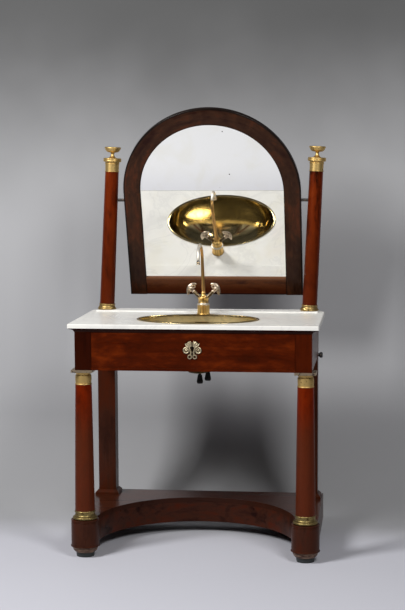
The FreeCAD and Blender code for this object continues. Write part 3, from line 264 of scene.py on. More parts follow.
class Nodes:
    """The node tree of a material or of the world."""

    def __init__(self, owner):
        owner.use_nodes = True
        self.tree = owner.node_tree

    def set_socket(self, socket, value):
        if isinstance(value, Value):
            self.tree.links.new(value.socket, socket)
        elif socket.type == "RGBA":
            socket.default_value = (*value[:3], 1.0)
        else:
            socket.default_value = value

    def node(self, kind, settings, sockets, output=0):
        """Any shader node: its type, its settings, and the values or links of its sockets."""
        made = self.tree.nodes.new(kind)
        for key, value in settings.items():
            if key == "stops":
                ramp = made.color_ramp
                while len(ramp.elements) < len(value):
                    ramp.elements.new(0.5)
                for element, (position, tint) in zip(ramp.elements, value):
                    element.position = position
                    element.color = (*tint[:3], 1.0)
            else:
                setattr(made, key, value)
        for key, value in sockets.items():
            self.set_socket(made.inputs[key], value)
        return Value(self, made.outputs[output])

    def light_path(self, output):
        """1 for rays of one kind, else 0."""
        return self.node("ShaderNodeLightPath", {}, {}, output)


class Paint(Nodes):
    """One material while it is made; constants go straight on the shader's sockets.

    Its pattern follows object coordinates, in metres of the shared frame, or an attribute of the piece.
    """

    def __init__(self, name, constants, attribute=None):
        self.material = bpy.data.materials.new(name)
        super().__init__(self.material)
        self.shader = self.tree.nodes["Principled BSDF"]
        for socket, value in constants.items():
            self.feed(socket, value)
        if attribute:
            self.place = self.node("ShaderNodeAttribute", {"attribute_name": attribute}, {}, "Vector")
        else:
            self.place = self.node("ShaderNodeTexCoord", {}, {}, "Object")

    def feed(self, socket, value):
        self.set_socket(self.shader.inputs[socket], value)

    def noise(self, scale, detail=3.0, distortion=0.0):
        """Noise with the given number of features to a metre; three numbers draw it out along the axes."""
        vector = self.place
        if isinstance(scale, tuple):
            vector = self.node("ShaderNodeMapping", {}, {"Vector": vector, "Scale": scale})
            scale = 1.0
        return self.node("ShaderNodeTexNoise", {}, {"Vector": vector, "Scale": scale, "Detail": detail,
                                                   "Distortion": distortion})

    def step(self, value, low, high):
        """0 below low, 1 above high, smooth between."""
        return self.node("ShaderNodeMapRange", {"interpolation_type": "SMOOTHSTEP"},
                         {"Value": value, "From Min": low, "From Max": high})

    def mix(self, factor, first, second):
        """A colour between two."""
        return self.node("ShaderNodeMix", {"data_type": "RGBA"}, {0: factor, 6: first, 7: second}, 2)

    def ramp(self, factor, stops):
        return self.node("ShaderNodeValToRGB", {"stops": stops}, {"Fac": factor})

    def bump(self, height, strength, distance):
        self.feed("Normal", self.node("ShaderNodeBump", {}, {"Strength": strength, "Distance": distance,
                                                            "Height": height}))

    def axis(self, name):
        """One of the coordinates."""
        return self.node("ShaderNodeSeparateXYZ", {}, {"Vector": self.place}, name)


# Finishes

def shade(tint, *factors):
    """A colour multiplied by one factor, or by one for each of its three parts."""
    return np.array(tuple(tint)) * factors


def along_grain(grain, along, across):
    """Noise scales per metre: slow along the grain axis and fast across it."""
    return tuple(along if name == grain else across for name in "XYZ")


def mahogany(name, settings, grain, body, flame, polish=0.08, figure=0.5, fade=None, shine=None, band=None,
             rim=None):
    """Polished mahogany: streaks, cloudy flame figure, fine mottle and short dark pores under a clear coat.

    Tone is a weighted sum of a noise drawn out along the grain and two rounder ones; a ramp turns it into
    colour, and the stronger the figure, the closer its dark and bright stops.
    A fade is an axis, two places on it and a colour: from the second place down to the first the wood fades
    to it. Above the height given as shine the clear coat is thick, as on a ledge that is wiped.
    With a band width, the pattern follows the piece's own grain attribute, the outer edge of the band goes
    black, and the inner edge takes the width and the colour of the rim.
    """
    thin_coat = 0.03
    paint = Paint(name, {"Coat Weight": thin_coat, "Coat Roughness": 0.12, "Specular IOR Level": polish},
                  "grain" if band else None)
    streaks = paint.noise(along_grain(grain, 2.2, 34.0), 4.0, 0.6)
    cloud = paint.noise(along_grain(grain, 7.0, 15.0), 3.0, 1.2)
    mottle = paint.noise(along_grain(grain, 45.0, 110.0), 2.0, 0.4)
    pores = paint.step(paint.noise(along_grain(grain, 60.0, 1100.0), 1.0), 0.60, 0.72)
    tone = streaks * 0.34 + cloud * 0.48 + mottle * 0.18
    spread = 0.12 / figure
    wood = paint.ramp(tone, [(0.50 - spread, settings.shadow), (0.50, body), (0.50 + spread, flame)])
    if fade:
        axis, low, high, faded = fade
        wood = paint.mix(paint.step(paint.axis(axis), low, high), paint.mix(0.7, wood, faded), wood)
    if shine:
        wiped = paint.step(paint.axis("Z"), shine - 1.5 * mm, shine - 0.5 * mm)
        paint.feed("Coat Weight", thin_coat + wiped * 0.5)
    if band:
        inward = paint.axis("X")
        edge = settings.edge_width
        # The rim colour is a painted highlight on the sill and the black edge on the arch and the stiles.
        width, worn = rim
        wood = paint.mix(0.85 - paint.step(inward, edge * 0.4, edge) * 0.85, wood, settings.frame_edge_black)
        wood = paint.mix(paint.step(inward, band - width, band - width * 0.4) * 0.85, wood, worn)
    paint.feed("Base Color", paint.mix(pores * 0.35, wood, settings.shadow))
    paint.feed("Roughness", 0.24 + streaks * 0.10 + pores * 0.15)
    paint.bump(1.0 - pores, 0.10, 0.2 * mm)
    return paint.material


def bun_wood(settings, waist):
    """Worn brown wood of a bun foot, scuffed pale round its belly and black below the height of its waist."""
    paint = Paint("bun_wood", {"Specular IOR Level": 0.25})
    scuffs = paint.noise((60.0, 60.0, 240.0), 4.0, 0.6)
    belly = paint.mix(paint.step(scuffs, 0.36, 0.64), settings.brown, settings.scuff)
    height = paint.axis("Z") + (scuffs - 0.5) * (4.0 * mm)
    above_waist = paint.step(height, waist - 1.0 * mm, waist + 2.0 * mm)
    paint.feed("Base Color", paint.mix(above_waist, settings.dark_below_waist, belly))
    paint.feed("Roughness", 0.30 + scuffs * 0.25)
    return paint.material


def plain_wood(name, settings, grain):
    """Unpolished wood: pale and darker growth rings drawn out along the grain."""
    paint = Paint(name, {"Specular IOR Level": 0.25})
    rings = paint.noise(along_grain(grain, 2.0, 60.0), 4.0, 0.8)
    fuzz = paint.noise(along_grain(grain, 30.0, 600.0), 2.0)
    deep = shade(settings.plain, 0.45)
    paint.feed("Base Color", paint.mix(paint.step(rings, 0.35, 0.68), settings.plain, deep))
    paint.feed("Roughness", 0.55 + fuzz * 0.25)
    paint.bump(fuzz, 0.25, 0.3 * mm)
    return paint.material


def worn_brass(name, bright, dull, gloss, wear):
    """Cast brass: bright metal, dulled by noise where it is worn, with a fine uneven surface."""
    paint = Paint(name, {"Metallic": 1.0})
    patches = paint.noise(90.0, 4.0, 0.5)
    grit = paint.noise(700.0, 2.0)
    worn = paint.step(patches + (grit - 0.5) * 0.3, 0.62 - wear * 0.3, 0.80 - wear * 0.2)
    paint.feed("Base Color", paint.mix(worn, bright, dull))
    paint.feed("Roughness", gloss + worn * 0.25 + grit * 0.08)
    paint.bump(grit * 0.6 + patches * 0.4, 0.10, 0.4 * mm)
    return paint.material


def polished_bowl(settings):
    """Polished brass bowl: wiping scratches, slow stains, a worn rim and a satin wall below the tap."""
    paint = Paint("polished_bowl", {"Metallic": 1.0})
    stains = paint.noise(22.0, 4.0, 0.8)
    wiping = paint.noise((90.0, 900.0, 900.0), 2.0)
    deep = shade(settings.bowl, 0.62)
    paint.feed("Base Color", paint.mix(paint.step(stains, 0.45, 0.75), settings.bowl, deep))
    low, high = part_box("basin_bowl")
    brim = high.z
    middle = (low.y + high.y) / 2
    height = paint.axis("Z")
    rolled = paint.step(height, brim - 6.0 * mm, brim - 2.0 * mm)
    satin = paint.step(height, brim - 42.0 * mm, brim - 18.0 * mm) * (1.0 - rolled)
    satin = satin * paint.step(paint.axis("Y"), middle, middle + 40.0 * mm)
    paint.feed("Roughness", 0.08 + stains * 0.06 + wiping * 0.04 + satin * 0.32 + rolled * 0.05)
    paint.bump(wiping, 0.03, 0.1 * mm)
    return paint.material


def tap_finish(name, metal, plating, share, gloss=0.16, streak=130.0, zone=None):
    """Tap metal: yellow metal under worn plating, by a noise around the given share of plating.

    A streak below 130 per metre draws the patches out upwards, and the metal is darker in the streaks: these
    upright stripes are painted reflections.
    A zone is an axis and two places on it, between which the share of plating rises.
    """
    paint = Paint(name, {"Metallic": 1.0})
    patches = paint.noise((130.0, 130.0, streak), 4.0, 0.7)
    grit = paint.noise(900.0, 2.0)
    cover = patches + (share - 0.5) * 0.6
    if zone:
        axis, low, high = zone
        along = paint.axis(axis)
        blur = 2.0 * mm
        inside = paint.step(along, low - blur, low) * (1.0 - paint.step(along, high, high + blur))
        cover = cover + inside * 0.5
    plated = paint.step(cover, 0.50, 0.66)
    # Darker patches; drawn out upwards by a low streak they are painted reflection stripes.
    worn = paint.mix(paint.step(patches, 0.42, 0.58), metal, shade(metal, 0.55))
    paint.feed("Base Color", paint.mix(plated, worn, plating))
    paint.feed("Roughness", gloss + grit * 0.08 + plated * 0.06)
    paint.bump(grit * 0.5 + patches * 0.5, 0.10, 0.3 * mm)
    return paint.material


def dull_metal(name, tint, roughness):
    """Iron or blackened pipe: dark, uneven and a little rusty."""
    paint = Paint(name, {"Metallic": 0.6})
    patches = paint.noise(160.0, 4.0)
    rusty = shade(tint, 2.2, 1.6, 1.2) + (0.006, 0.003, 0.0)
    paint.feed("Base Color", paint.mix(paint.step(patches, 0.5, 0.75), tint, rusty))
    paint.feed("Roughness", roughness + patches * 0.2)
    paint.bump(patches, 0.2, 0.3 * mm)
    return paint.material


def white_marble(settings):
    """White marble: soft grey clouds, thin broken veins, faint warm patches, and a grey line of painted shade
    along the front edge.

    A vein lies where a bent noise crosses its middle value.
    """
    paint = Paint("white_marble", {"Specular IOR Level": 0.20})
    cloud = paint.noise(5.0, 6.0, 0.8)
    warm = paint.noise(3.0, 2.0, 0.3)
    bend = paint.noise(4.0, 5.0, 2.0)
    vein = 1.0 - paint.step(abs(bend - 0.5), 0.004, 0.030)
    stone = paint.mix(paint.step(cloud, 0.48, 0.78) * 0.75, settings.white, settings.cloud)
    stone = paint.mix(paint.step(warm, 0.55, 0.75) * 0.5, stone, settings.blush)
    stone = paint.mix(vein * 0.30, stone, settings.cloud)
    front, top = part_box("marble_top")[0].y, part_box("basin_bowl")[1].z
    away = paint.axis("Y") - front
    # A grey line a few millimetres back from the front edge, on the top: painted shade of the rounded edge.
    line = paint.step(away, 1.5 * mm, 2.5 * mm) * (1.0 - paint.step(away, 4.5 * mm, 6.0 * mm))
    line = line * paint.step(paint.axis("Z"), top - 8.0 * mm, top - 5.0 * mm)
    paint.feed("Base Color", paint.mix(line * 0.55, stone, settings.edge))
    paint.feed("Roughness", 0.20 + cloud * 0.12)
    paint.bump(paint.noise(60.0, 3.0), 0.02, 0.3 * mm)
    return paint.material


def old_mirror(settings):
    """Silvered glass: clear reflection with a few dark specks and slow pale haze."""
    paint = Paint("old_mirror", {"Metallic": 1.0})
    cells = paint.node("ShaderNodeTexVoronoi", {"feature": "F1"}, {"Vector": paint.place, "Scale": 14.0},
                       "Distance")
    chance = paint.noise(6.0, 1.0)
    speck = (1.0 - paint.step(cells, 0.02, 0.045)) * paint.step(chance, 0.50, 0.54)
    haze = paint.noise(12.0, 5.0, 0.6)
    hazed = shade(settings.silvering, 0.97, 0.96, 0.92)
    glass = paint.mix(paint.step(haze, 0.45, 0.75), settings.silvering, hazed)
    paint.feed("Base Color", paint.mix(speck * 0.85, glass, settings.speck))
    paint.feed("Roughness", 0.012 + speck * 0.4)
    return paint.material


def stage_paper(stage):
    """Backdrop paper, front to back: painted shade, an apron of painted light, the floor, a wall painted
    darker upwards.

    The paper has one side: seen from behind or from below it is clear, so that it hides nothing.
    Its dark end, painted shade for the unlit room, is clear to the eye as well, and shows only in metal and
    glass.
    """
    dark_end, lit_apron_end, wall_foot = (-2.4, -1.9), (-1.3, -0.9), (-0.05, 0.45)
    painted_shade_height = (1.0, 2.0)
    paint = Paint("studio_paper", {"Specular IOR Level": 0.15})
    mottle = paint.noise(2.0, 3.0)
    depth = paint.axis("Y") + (mottle - 0.5) * 0.08
    height = paint.axis("Z") + (mottle - 0.5) * 0.3
    lit = paint.step(depth, *dark_end)
    # The paler apron in front is a painted pool of light from the nearby lamps.
    ground = paint.mix(paint.step(depth, *lit_apron_end), stage.lit_apron, stage.floor)
    # Beyond the lit part the paper takes the painted shade of the unlit room.
    ground = paint.mix(lit, stage.painted_shade, ground)
    # The wall takes painted shade as it rises, where the lamps' light falls off.
    wall = paint.mix(paint.step(height, *painted_shade_height), stage.wall, stage.painted_shade)
    paint.feed("Base Color", paint.mix(paint.step(depth, *wall_foot), ground, wall))
    paint.feed("Roughness", 0.75 + mottle * 0.15)
    front = 1.0 - paint.node("ShaderNodeNewGeometry", {}, {}, "Backfacing")
    hidden = paint.light_path("Is Camera Ray") * (1.0 - front * lit)
    paper = Value(paint, paint.shader.outputs["BSDF"])
    clear = paint.node("ShaderNodeBsdfTransparent", {}, {})
    shown = paint.node("ShaderNodeMixShader", {}, {0: hidden, 1: paper, 2: clear})
    paint.set_socket(paint.tree.nodes["Material Output"].inputs["Surface"], shown)
    return paint.material


# Surfaces

def whole_turn(count):
    """Evenly spaced angles round a circle."""
    return np.linspace(0, 2 * math.pi, count, endpoint=False)


def grid(*parts):
    """Points from their coordinates, each a number or an array, spread to one shape."""
    return np.stack(np.broadcast_arrays(*parts), -1)


def arc_through(first, middle, last, count):
    """Evenly spaced points on the circle through three points.

    The centre is where the perpendicular bisectors meet; the points go round it from the first to the last.
    """
    rows = np.array([first, middle, last], float)
    squares = (rows ** 2).sum(1)
    ones = np.ones(3)
    scale = 2 * np.linalg.det(np.column_stack([rows, ones]))
    x = np.linalg.det(np.column_stack([squares, rows[:, 1], ones])) / scale
    y = -np.linalg.det(np.column_stack([squares, rows[:, 0], ones])) / scale
    turns = np.unwrap(np.arctan2(rows[:, 1] - y, rows[:, 0] - x))
    turn = np.linspace(turns[0], turns[2], count)
    radius = math.hypot(rows[0, 0] - x, rows[0, 1] - y)
    return grid(x + radius * np.cos(turn), y + radius * np.sin(turn))


def outline(entries, count=14):
    """A profile: each entry is a corner (u, v) or an arc (middle u, middle v, end u, end v)."""
    runs = [np.array([entries[0]], float)]
    for entry in entries[1:]:
        if len(entry) == 2:
            runs.append(np.array([entry], float))
        else:
            runs.append(arc_through(runs[-1][-1], entry[:2], entry[2:], count)[1:])
    return np.vstack(runs)


def turning(base, entries):
    """A turned profile drawn in millimetres: radii, and heights above a base that is in metres."""
    return outline(entries) * mm + (0, base)


def moved(points, matrix):
    """Points after a 4 by 4 matrix."""
    m = np.array(matrix)
    return points @ m[:3, :3].T + m[:3, 3]


def lathe(profile, stand, around):
    """A turned surface: a profile of radius and height carried round the upright axis of a stand.

    A point is the stand's matrix applied to (radius * cos t, radius * sin t, height).
    """
    turn = whole_turn(around)
    radius, height = profile[:, :1], profile[:, 1:]
    return moved(grid(radius * np.cos(turn), radius * np.sin(turn), height), stand)


def capped(points):
    """A grid with its first and last rows closed to their middles."""
    ends = [np.broadcast_to(row.mean(0), row.shape)[None] for row in (points[0], points[-1])]
    return np.concatenate([ends[0], points, ends[1]])


def tube(path, radius, side, around, flat=1.0):
    """A round tube along a path that lies in a plane; side is the normal of that plane.

    A ring is point + radius * (flat * cos t * side + sin t * (tangent x side)); both ends close to a point.
    """
    tangent = np.gradient(path, axis=0)
    tangent /= np.linalg.norm(tangent, axis=1)[:, None]
    side = side / np.linalg.norm(side)
    other = np.cross(tangent, side)[:, None, :]
    turn = whole_turn(around)[:, None]
    ring = flat * np.cos(turn) * side + np.sin(turn) * other
    return capped(path[:, None, :] + np.broadcast_to(radius, len(path))[:, None, None] * ring)


def dome(centre, size, around, rows):
    """An ellipsoid: centre + size * (cos v cos u, cos v sin u, sin v)."""
    u = whole_turn(around)
    v = np.linspace(-math.pi / 2, math.pi / 2, rows)[:, None]
    return centre + grid(np.cos(v) * np.cos(u), np.cos(v) * np.sin(u), np.sin(v)) * size


def smooth_path(knots, count):
    """Points on a curve through the knots: a cubic between neighbours, with a chord's slope at each knot."""
    knots = np.asarray(knots, float)
    ends = np.vstack([2 * knots[0] - knots[1], knots, 2 * knots[-1] - knots[-2]])
    t = np.linspace(0, len(knots) - 1, count)
    i = np.minimum(t.astype(int), len(knots) - 2)
    f = (t - i)[:, None]
    a, b, c, d = (ends[i + k] for k in range(4))
    square, cube = 2 * a - 5 * b + 4 * c - d, 3 * b - a - 3 * c + d
    return 0.5 * (2 * b + (c - a) * f + square * f ** 2 + cube * f ** 3)


def grid_faces(shape, first, closed):
    """Quads of a grid, numbered from the first vertex; the columns of a closed one come round again."""
    rows, columns = shape[:2]
    here = first + np.arange(rows * columns).reshape(rows, columns)
    right = np.roll(here, -1, axis=1)
    quads = np.stack([here[:-1], right[:-1], right[1:], here[1:]], -1)
    return (quads if closed else quads[:, :-1]).reshape(-1, 4)


def surface(name, grids, grain=None, solid=True, closed=True, cut=None):
    """One mesh from grids of points, without the faces whose middles lie in the cut.

    Doubles are merged, so poles close, and the faces of a solid turn outwards.
    """
    starts = np.cumsum([0] + [g.shape[0] * g.shape[1] for g in grids])
    points = np.concatenate([g.reshape(-1, 3) for g in grids])
    faces = np.concatenate([grid_faces(g.shape, start, closed) for g, start in zip(grids, starts)])
    if cut:
        used, faces = np.unique(faces[~cut(points[faces].mean(1))], return_inverse=True)
        points, faces = points[used], faces.reshape(-1, 4)
    mesh = bpy.data.meshes.new(name)
    mesh.from_pydata(points.tolist(), [], faces.tolist())
    if grain:
        layer = mesh.attributes.new("grain", "FLOAT_VECTOR", "POINT")
        layer.data.foreach_set("vector", np.concatenate([g.reshape(-1) for g in grain]).astype(np.float32))
    work = bmesh.new()
    work.from_mesh(mesh)
    bmesh.ops.remove_doubles(work, verts=work.verts, dist=0.002 * mm)
    if solid:
        bmesh.ops.recalc_face_normals(work, faces=work.faces)
    work.to_mesh(mesh)
    work.free()
    mesh.shade_smooth()
    mesh.set_sharp_from_angle(angle=math.radians(32))
    piece = bpy.data.objects.new(name, mesh)
    bpy.context.scene.collection.objects.link(piece)
    return piece


def settle(piece, finish, body, slot, *nodes):
    """Give a new piece its finish and its body, and let it stand for the nodes it replaces; the slot is not
    used.
    """
    piece.data.materials.append(finish)
    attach(piece, body)
    if nodes:
        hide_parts(*nodes)


def dress(finish, *nodes):
    """Give CAD nodes a better finish."""
    for name in nodes:
        materials = frame["nodes"][name].data.materials
        materials.clear()
        materials.append(finish)


def pair_stands(node):
    """The two upright stands of a turned pair, with the radius and the heights of the node."""
    low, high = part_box(node)
    radius = (high.y - low.y) / 2
    middle = (high.y + low.y) / 2
    stands = [Matrix.Translation((x, middle, 0)) for x in (low.x + radius, high.x - radius)]
    return stands, radius, low.z, high.z


def turn_pair(node, profile, stands, around, finish, slot):
    """The same profile turned on two stands, as one piece in place of its node."""
    piece = surface(node + "_turned", [lathe(profile, stand, around) for stand in stands])
    settle(piece, finish, "stand", slot, node)


# Pieces

class WASHSTAND_OT_boards(Operator):
    """Finish the boards of the case, the platform and the drawer"""
    bl_idname = "washstand.boards"
    bl_label = "Boards"

    def execute(self, context):
        settings = context.scene.washstand
        wood = settings.wood
        body, brown, flame = wood.body, wood.brown, wood.flame
        ember = shade(flame, 0.45)
        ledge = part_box("platform_top")[1].z
        left_darker = ("X", -0.1, 0.1, wood.left_block)
        edge_darker = ("Z", ledge - 1.5 * mm, ledge - 0.5 * mm, shade(brown, 0.6))
        dress(mahogany("case_mahogany", wood, "X", shade(body, 0.88), flame), "drawer_front", "front_rails")
        # The cornice under the marble takes a far darker body: painted shade of the marble's overhang.
        dress(mahogany("cornice_shaded_mahogany", wood, "X", shade(body, 0.35), brown), "cornice_front")
        dress(mahogany("upright_mahogany", wood, "Z", shade(body, 0.85), ember, fade=left_darker),
              "corner_blocks")
        dress(mahogany("side_mahogany", wood, "Y", body, ember, polish=0.22), "case_sides", "cornice_sides")
        dress(mahogany("leg_mahogany", wood, "Z", brown, ember), "rear_legs", "leg_plinths", "rear_feet")
        dress(mahogany("platform_mahogany", wood, "X", brown, ember, figure=0.9),
              "platform_curved_front", "platform_walls")
        dress(mahogany("ledge_mahogany", wood, "X", brown, ember, fade=edge_darker, shine=ledge),
              "platform_top")
        dress(plain_wood("inner_wood_long", wood, "Y"), "tray_sides", "tray_floors", "drawer_runners")
        dress(plain_wood("inner_wood_cross", wood, "X"), "tray_backs", "drawer_stops", "case_back",
              "platform_glue_blocks", "mirror_backboard")
        dress(dull_metal("peg_grey", settings.metal.peg, roughness=0.30), "side_peg")
        return {"FINISHED"}


class WASHSTAND_OT_columns(Operator):
    """Turn the two front columns with their brass bases and capitals"""
    bl_idname = "washstand.columns"
    bl_label = "Columns"

    def execute(self, context):
        settings = context.scene.washstand
        wood, metal, around = settings.wood, settings.metal, settings.turned.around
        stands, foot, _, _ = pair_stands("columns")
        _, base_radius, base_low, base_high = pair_stands("column_bases")
        _, _, head_low, head_high = pair_stands("capitals")
        top = settings.turned.column_top
        belly = (foot + top) / 2 + settings.turned.column_swell
        shaft = outline([(0, base_high), (foot, base_high),
                         (belly, (base_high + head_low) / 2, top, head_low), (0, head_low)], 40)
        dull_below, bright_above = 0.40, head_low - 30 * mm
        finish = mahogany("column_mahogany", wood, "Z", shade(wood.body, 2.1, 1.5, 1.0), wood.flame,
                          polish=0.05, figure=0.4, fade=("Z", dull_below, bright_above, wood.column_foot))
        turn_pair("columns", shaft, stands, around, finish, "mahogany")

        tall = base_high - base_low
        neck = foot + 0.8 * mm
        bead = neck + 0.7 * mm
        wide = base_radius - 5.5 * mm
        waist = wide - 1.4 * mm
        base = outline([
            (0, 0), (wide, 0), (base_radius, tall * 0.18, wide, tall * 0.36),
            (waist, tall * 0.37), (waist, tall * 0.45), (neck - 0.9 * mm, tall * 0.62, neck, tall * 0.80),
            (bead, tall * 0.81), (bead + 0.7 * mm, tall * 0.88, bead, tall * 0.95), (neck, tall), (0, tall)])
        dim = shade(metal.gilt, 0.44, 0.48, 0.50)
        dull = worn_brass("base_gilding", dim, metal.tarnish, gloss=0.40, wear=0.45)
        turn_pair("column_bases", base + (0, base_low), stands, around, dull, "gilt_brass")

        tall = head_high - head_low
        slim = top - 0.8 * mm
        lip = slim + 0.4 * mm
        groove = slim - 2.2 * mm
        capital = outline([
            (0, 0), (lip, 0), (lip + 1.2 * mm, 2.0 * mm, lip, 4.0 * mm), (slim - 0.6 * mm, 4.6 * mm),
            (slim + 0.6 * mm, tall * 0.42, slim, tall * 0.72), (groove, tall * 0.74),
            (groove - 0.6 * mm, tall * 0.80, groove, tall * 0.86), (lip, tall * 0.88),
            (lip + 1.4 * mm, tall * 0.94, lip, tall), (0, tall)])
        gilt = worn_brass("capital_gilding", metal.gilt, metal.tarnish, gloss=0.46, wear=0.15)
        turn_pair("capitals", capital + (0, head_low), stands, around, gilt, "gilt_brass")
        dress(worn_brass("abacus_gilding", metal.abacus, metal.abacus_worn, gloss=0.38, wear=0.40),
              "abacus_plates")
        return {"FINISHED"}


class WASHSTAND_OT_feet(Operator):
    """Turn the drums under the columns and the buns under the drums"""
    bl_idname = "washstand.feet"
    bl_label = "Feet"

    def execute(self, context):
        settings = context.scene.washstand
        wood, around = settings.wood, settings.turned.around
        stands, lip, low, high = pair_stands("foot_drums")
        body = lip - 2.0 * mm
        groove = 1.2 * mm
        drum = [(0, low), (lip, low), (lip, low + 2.2 * mm), (body, low + 4.0 * mm)]
        for drop in (9.5 * mm, 5.0 * mm):
            z = high - drop
            drum += [(body, z - groove), (body - groove, z), (body, z + groove)]
        drum += [(body, high - 1.0 * mm), (body - 1.0 * mm, high), (0, high)]
        finish = mahogany("foot_mahogany", wood, "Z", wood.brown, shade(wood.flame, 0.4))
        turn_pair("foot_drums", outline(drum), stands, around, finish, "mahogany")

        _, radius, floor, _ = pair_stands("bun_feet")
        tall = low - floor
        waist = floor + tall * 0.42
        bun = outline([(0, floor), (radius * 0.64, floor), (radius * 0.70, floor + 1.5 * mm),
                       (radius * 0.74, waist), (radius * 0.95, floor + tall * 0.66, radius, low), (0, low)])
        turn_pair("bun_feet", bun, stands, around, bun_wood(wood, waist), "mahogany")
        return {"FINISHED"}


class WASHSTAND_OT_marble(Operator):
    """Finish the marble slab"""
    bl_idname = "washstand.marble"
    bl_label = "Marble"

    def execute(self, context):
        dress(white_marble(context.scene.washstand.stone), "marble_top")
        return {"FINISHED"}


class WASHSTAND_OT_basin(Operator):
    """Raise the oval brass bowl with its rolled rim and overflow slot"""
    bl_idname = "washstand.basin"
    bl_label = "Basin"

    def execute(self, context):
        metal = context.scene.washstand.metal
        low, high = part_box("basin_bowl")
        middle = (low + high) / 2
        rim = 5.9 * mm
        crest = 1.8 * mm
        wall = 2.4 * mm
        hole = 20.0 * mm
        slot_drop, slot_half, slot_width = 27.0 * mm, 3.0 * mm, 23.0 * mm
        table = high.z - crest
        drop = table - low.z
        brim = np.array([[high.x - low.x], [high.y - low.y]]) / 2 - rim

        # The rim is a half round that lies on the marble, outwards from the brim
        lip = outline([(rim, 0.2 * mm), (rim * 0.5, crest, 0.0, 0.0)], 12)[:-1]

        # Down the wall, u is the angle below the brim: the oval shrinks by cos u and sinks by sin u
        floor_angle = math.acos(0.25)
        slot_edges = [math.asin((slot_drop + way * slot_half) / drop) for way in sides]
        marks = [0.0, *slot_edges, floor_angle]
        runs = [np.linspace(a, b, n, endpoint=False) for a, b, n in zip(marks, marks[1:], (10, 3, 64))]
        down = np.append(np.concatenate(runs), floor_angle)
        sunk = drop * np.sin(down) / math.sin(floor_angle)

        # The floor runs from the oval to the round hole of the waste
        share = np.linspace(0, 1, 10)[1:]
        floor = brim * math.cos(floor_angle) * (1 - share) + hole * share

        # Each row is an oval, middle + (a cos t, b sin t, height), and the rows run from the hole to the rim
        a, b = np.hstack([brim + lip[:, 0], brim * np.cos(down), floor])[:, ::-1, None]
        height = np.concatenate([lip[:, 1], -sunk, np.full(len(share), -sunk[-1])])[::-1, None]
        turn = whole_turn(256)
        points = grid(a * np.cos(turn), b * np.sin(turn), height) + (middle.x, middle.y, table)

        def slot(centres):
            x, y, z = (centres - (middle.x, middle.y, table - slot_drop)).T
            return (abs(x) < slot_width) & (y > 0) & (abs(z) < slot_half)

        piece = surface("basin_raised", [points], solid=False, cut=slot)
        thick = piece.modifiers.new("wall", "SOLIDIFY")
        thick.thickness = wall
        thick.offset = -1.0
        brass = polished_bowl(metal)
        settle(piece, brass, "stand", "polished_brass", "basin_bowl")
        dress(brass, "waste_fitting")
        dress(worn_brass("dull_brass", metal.tarnish, metal.stain, gloss=0.4, wear=0.5), "waste_nut",
              "overflow_channel")
        return {"FINISHED"}


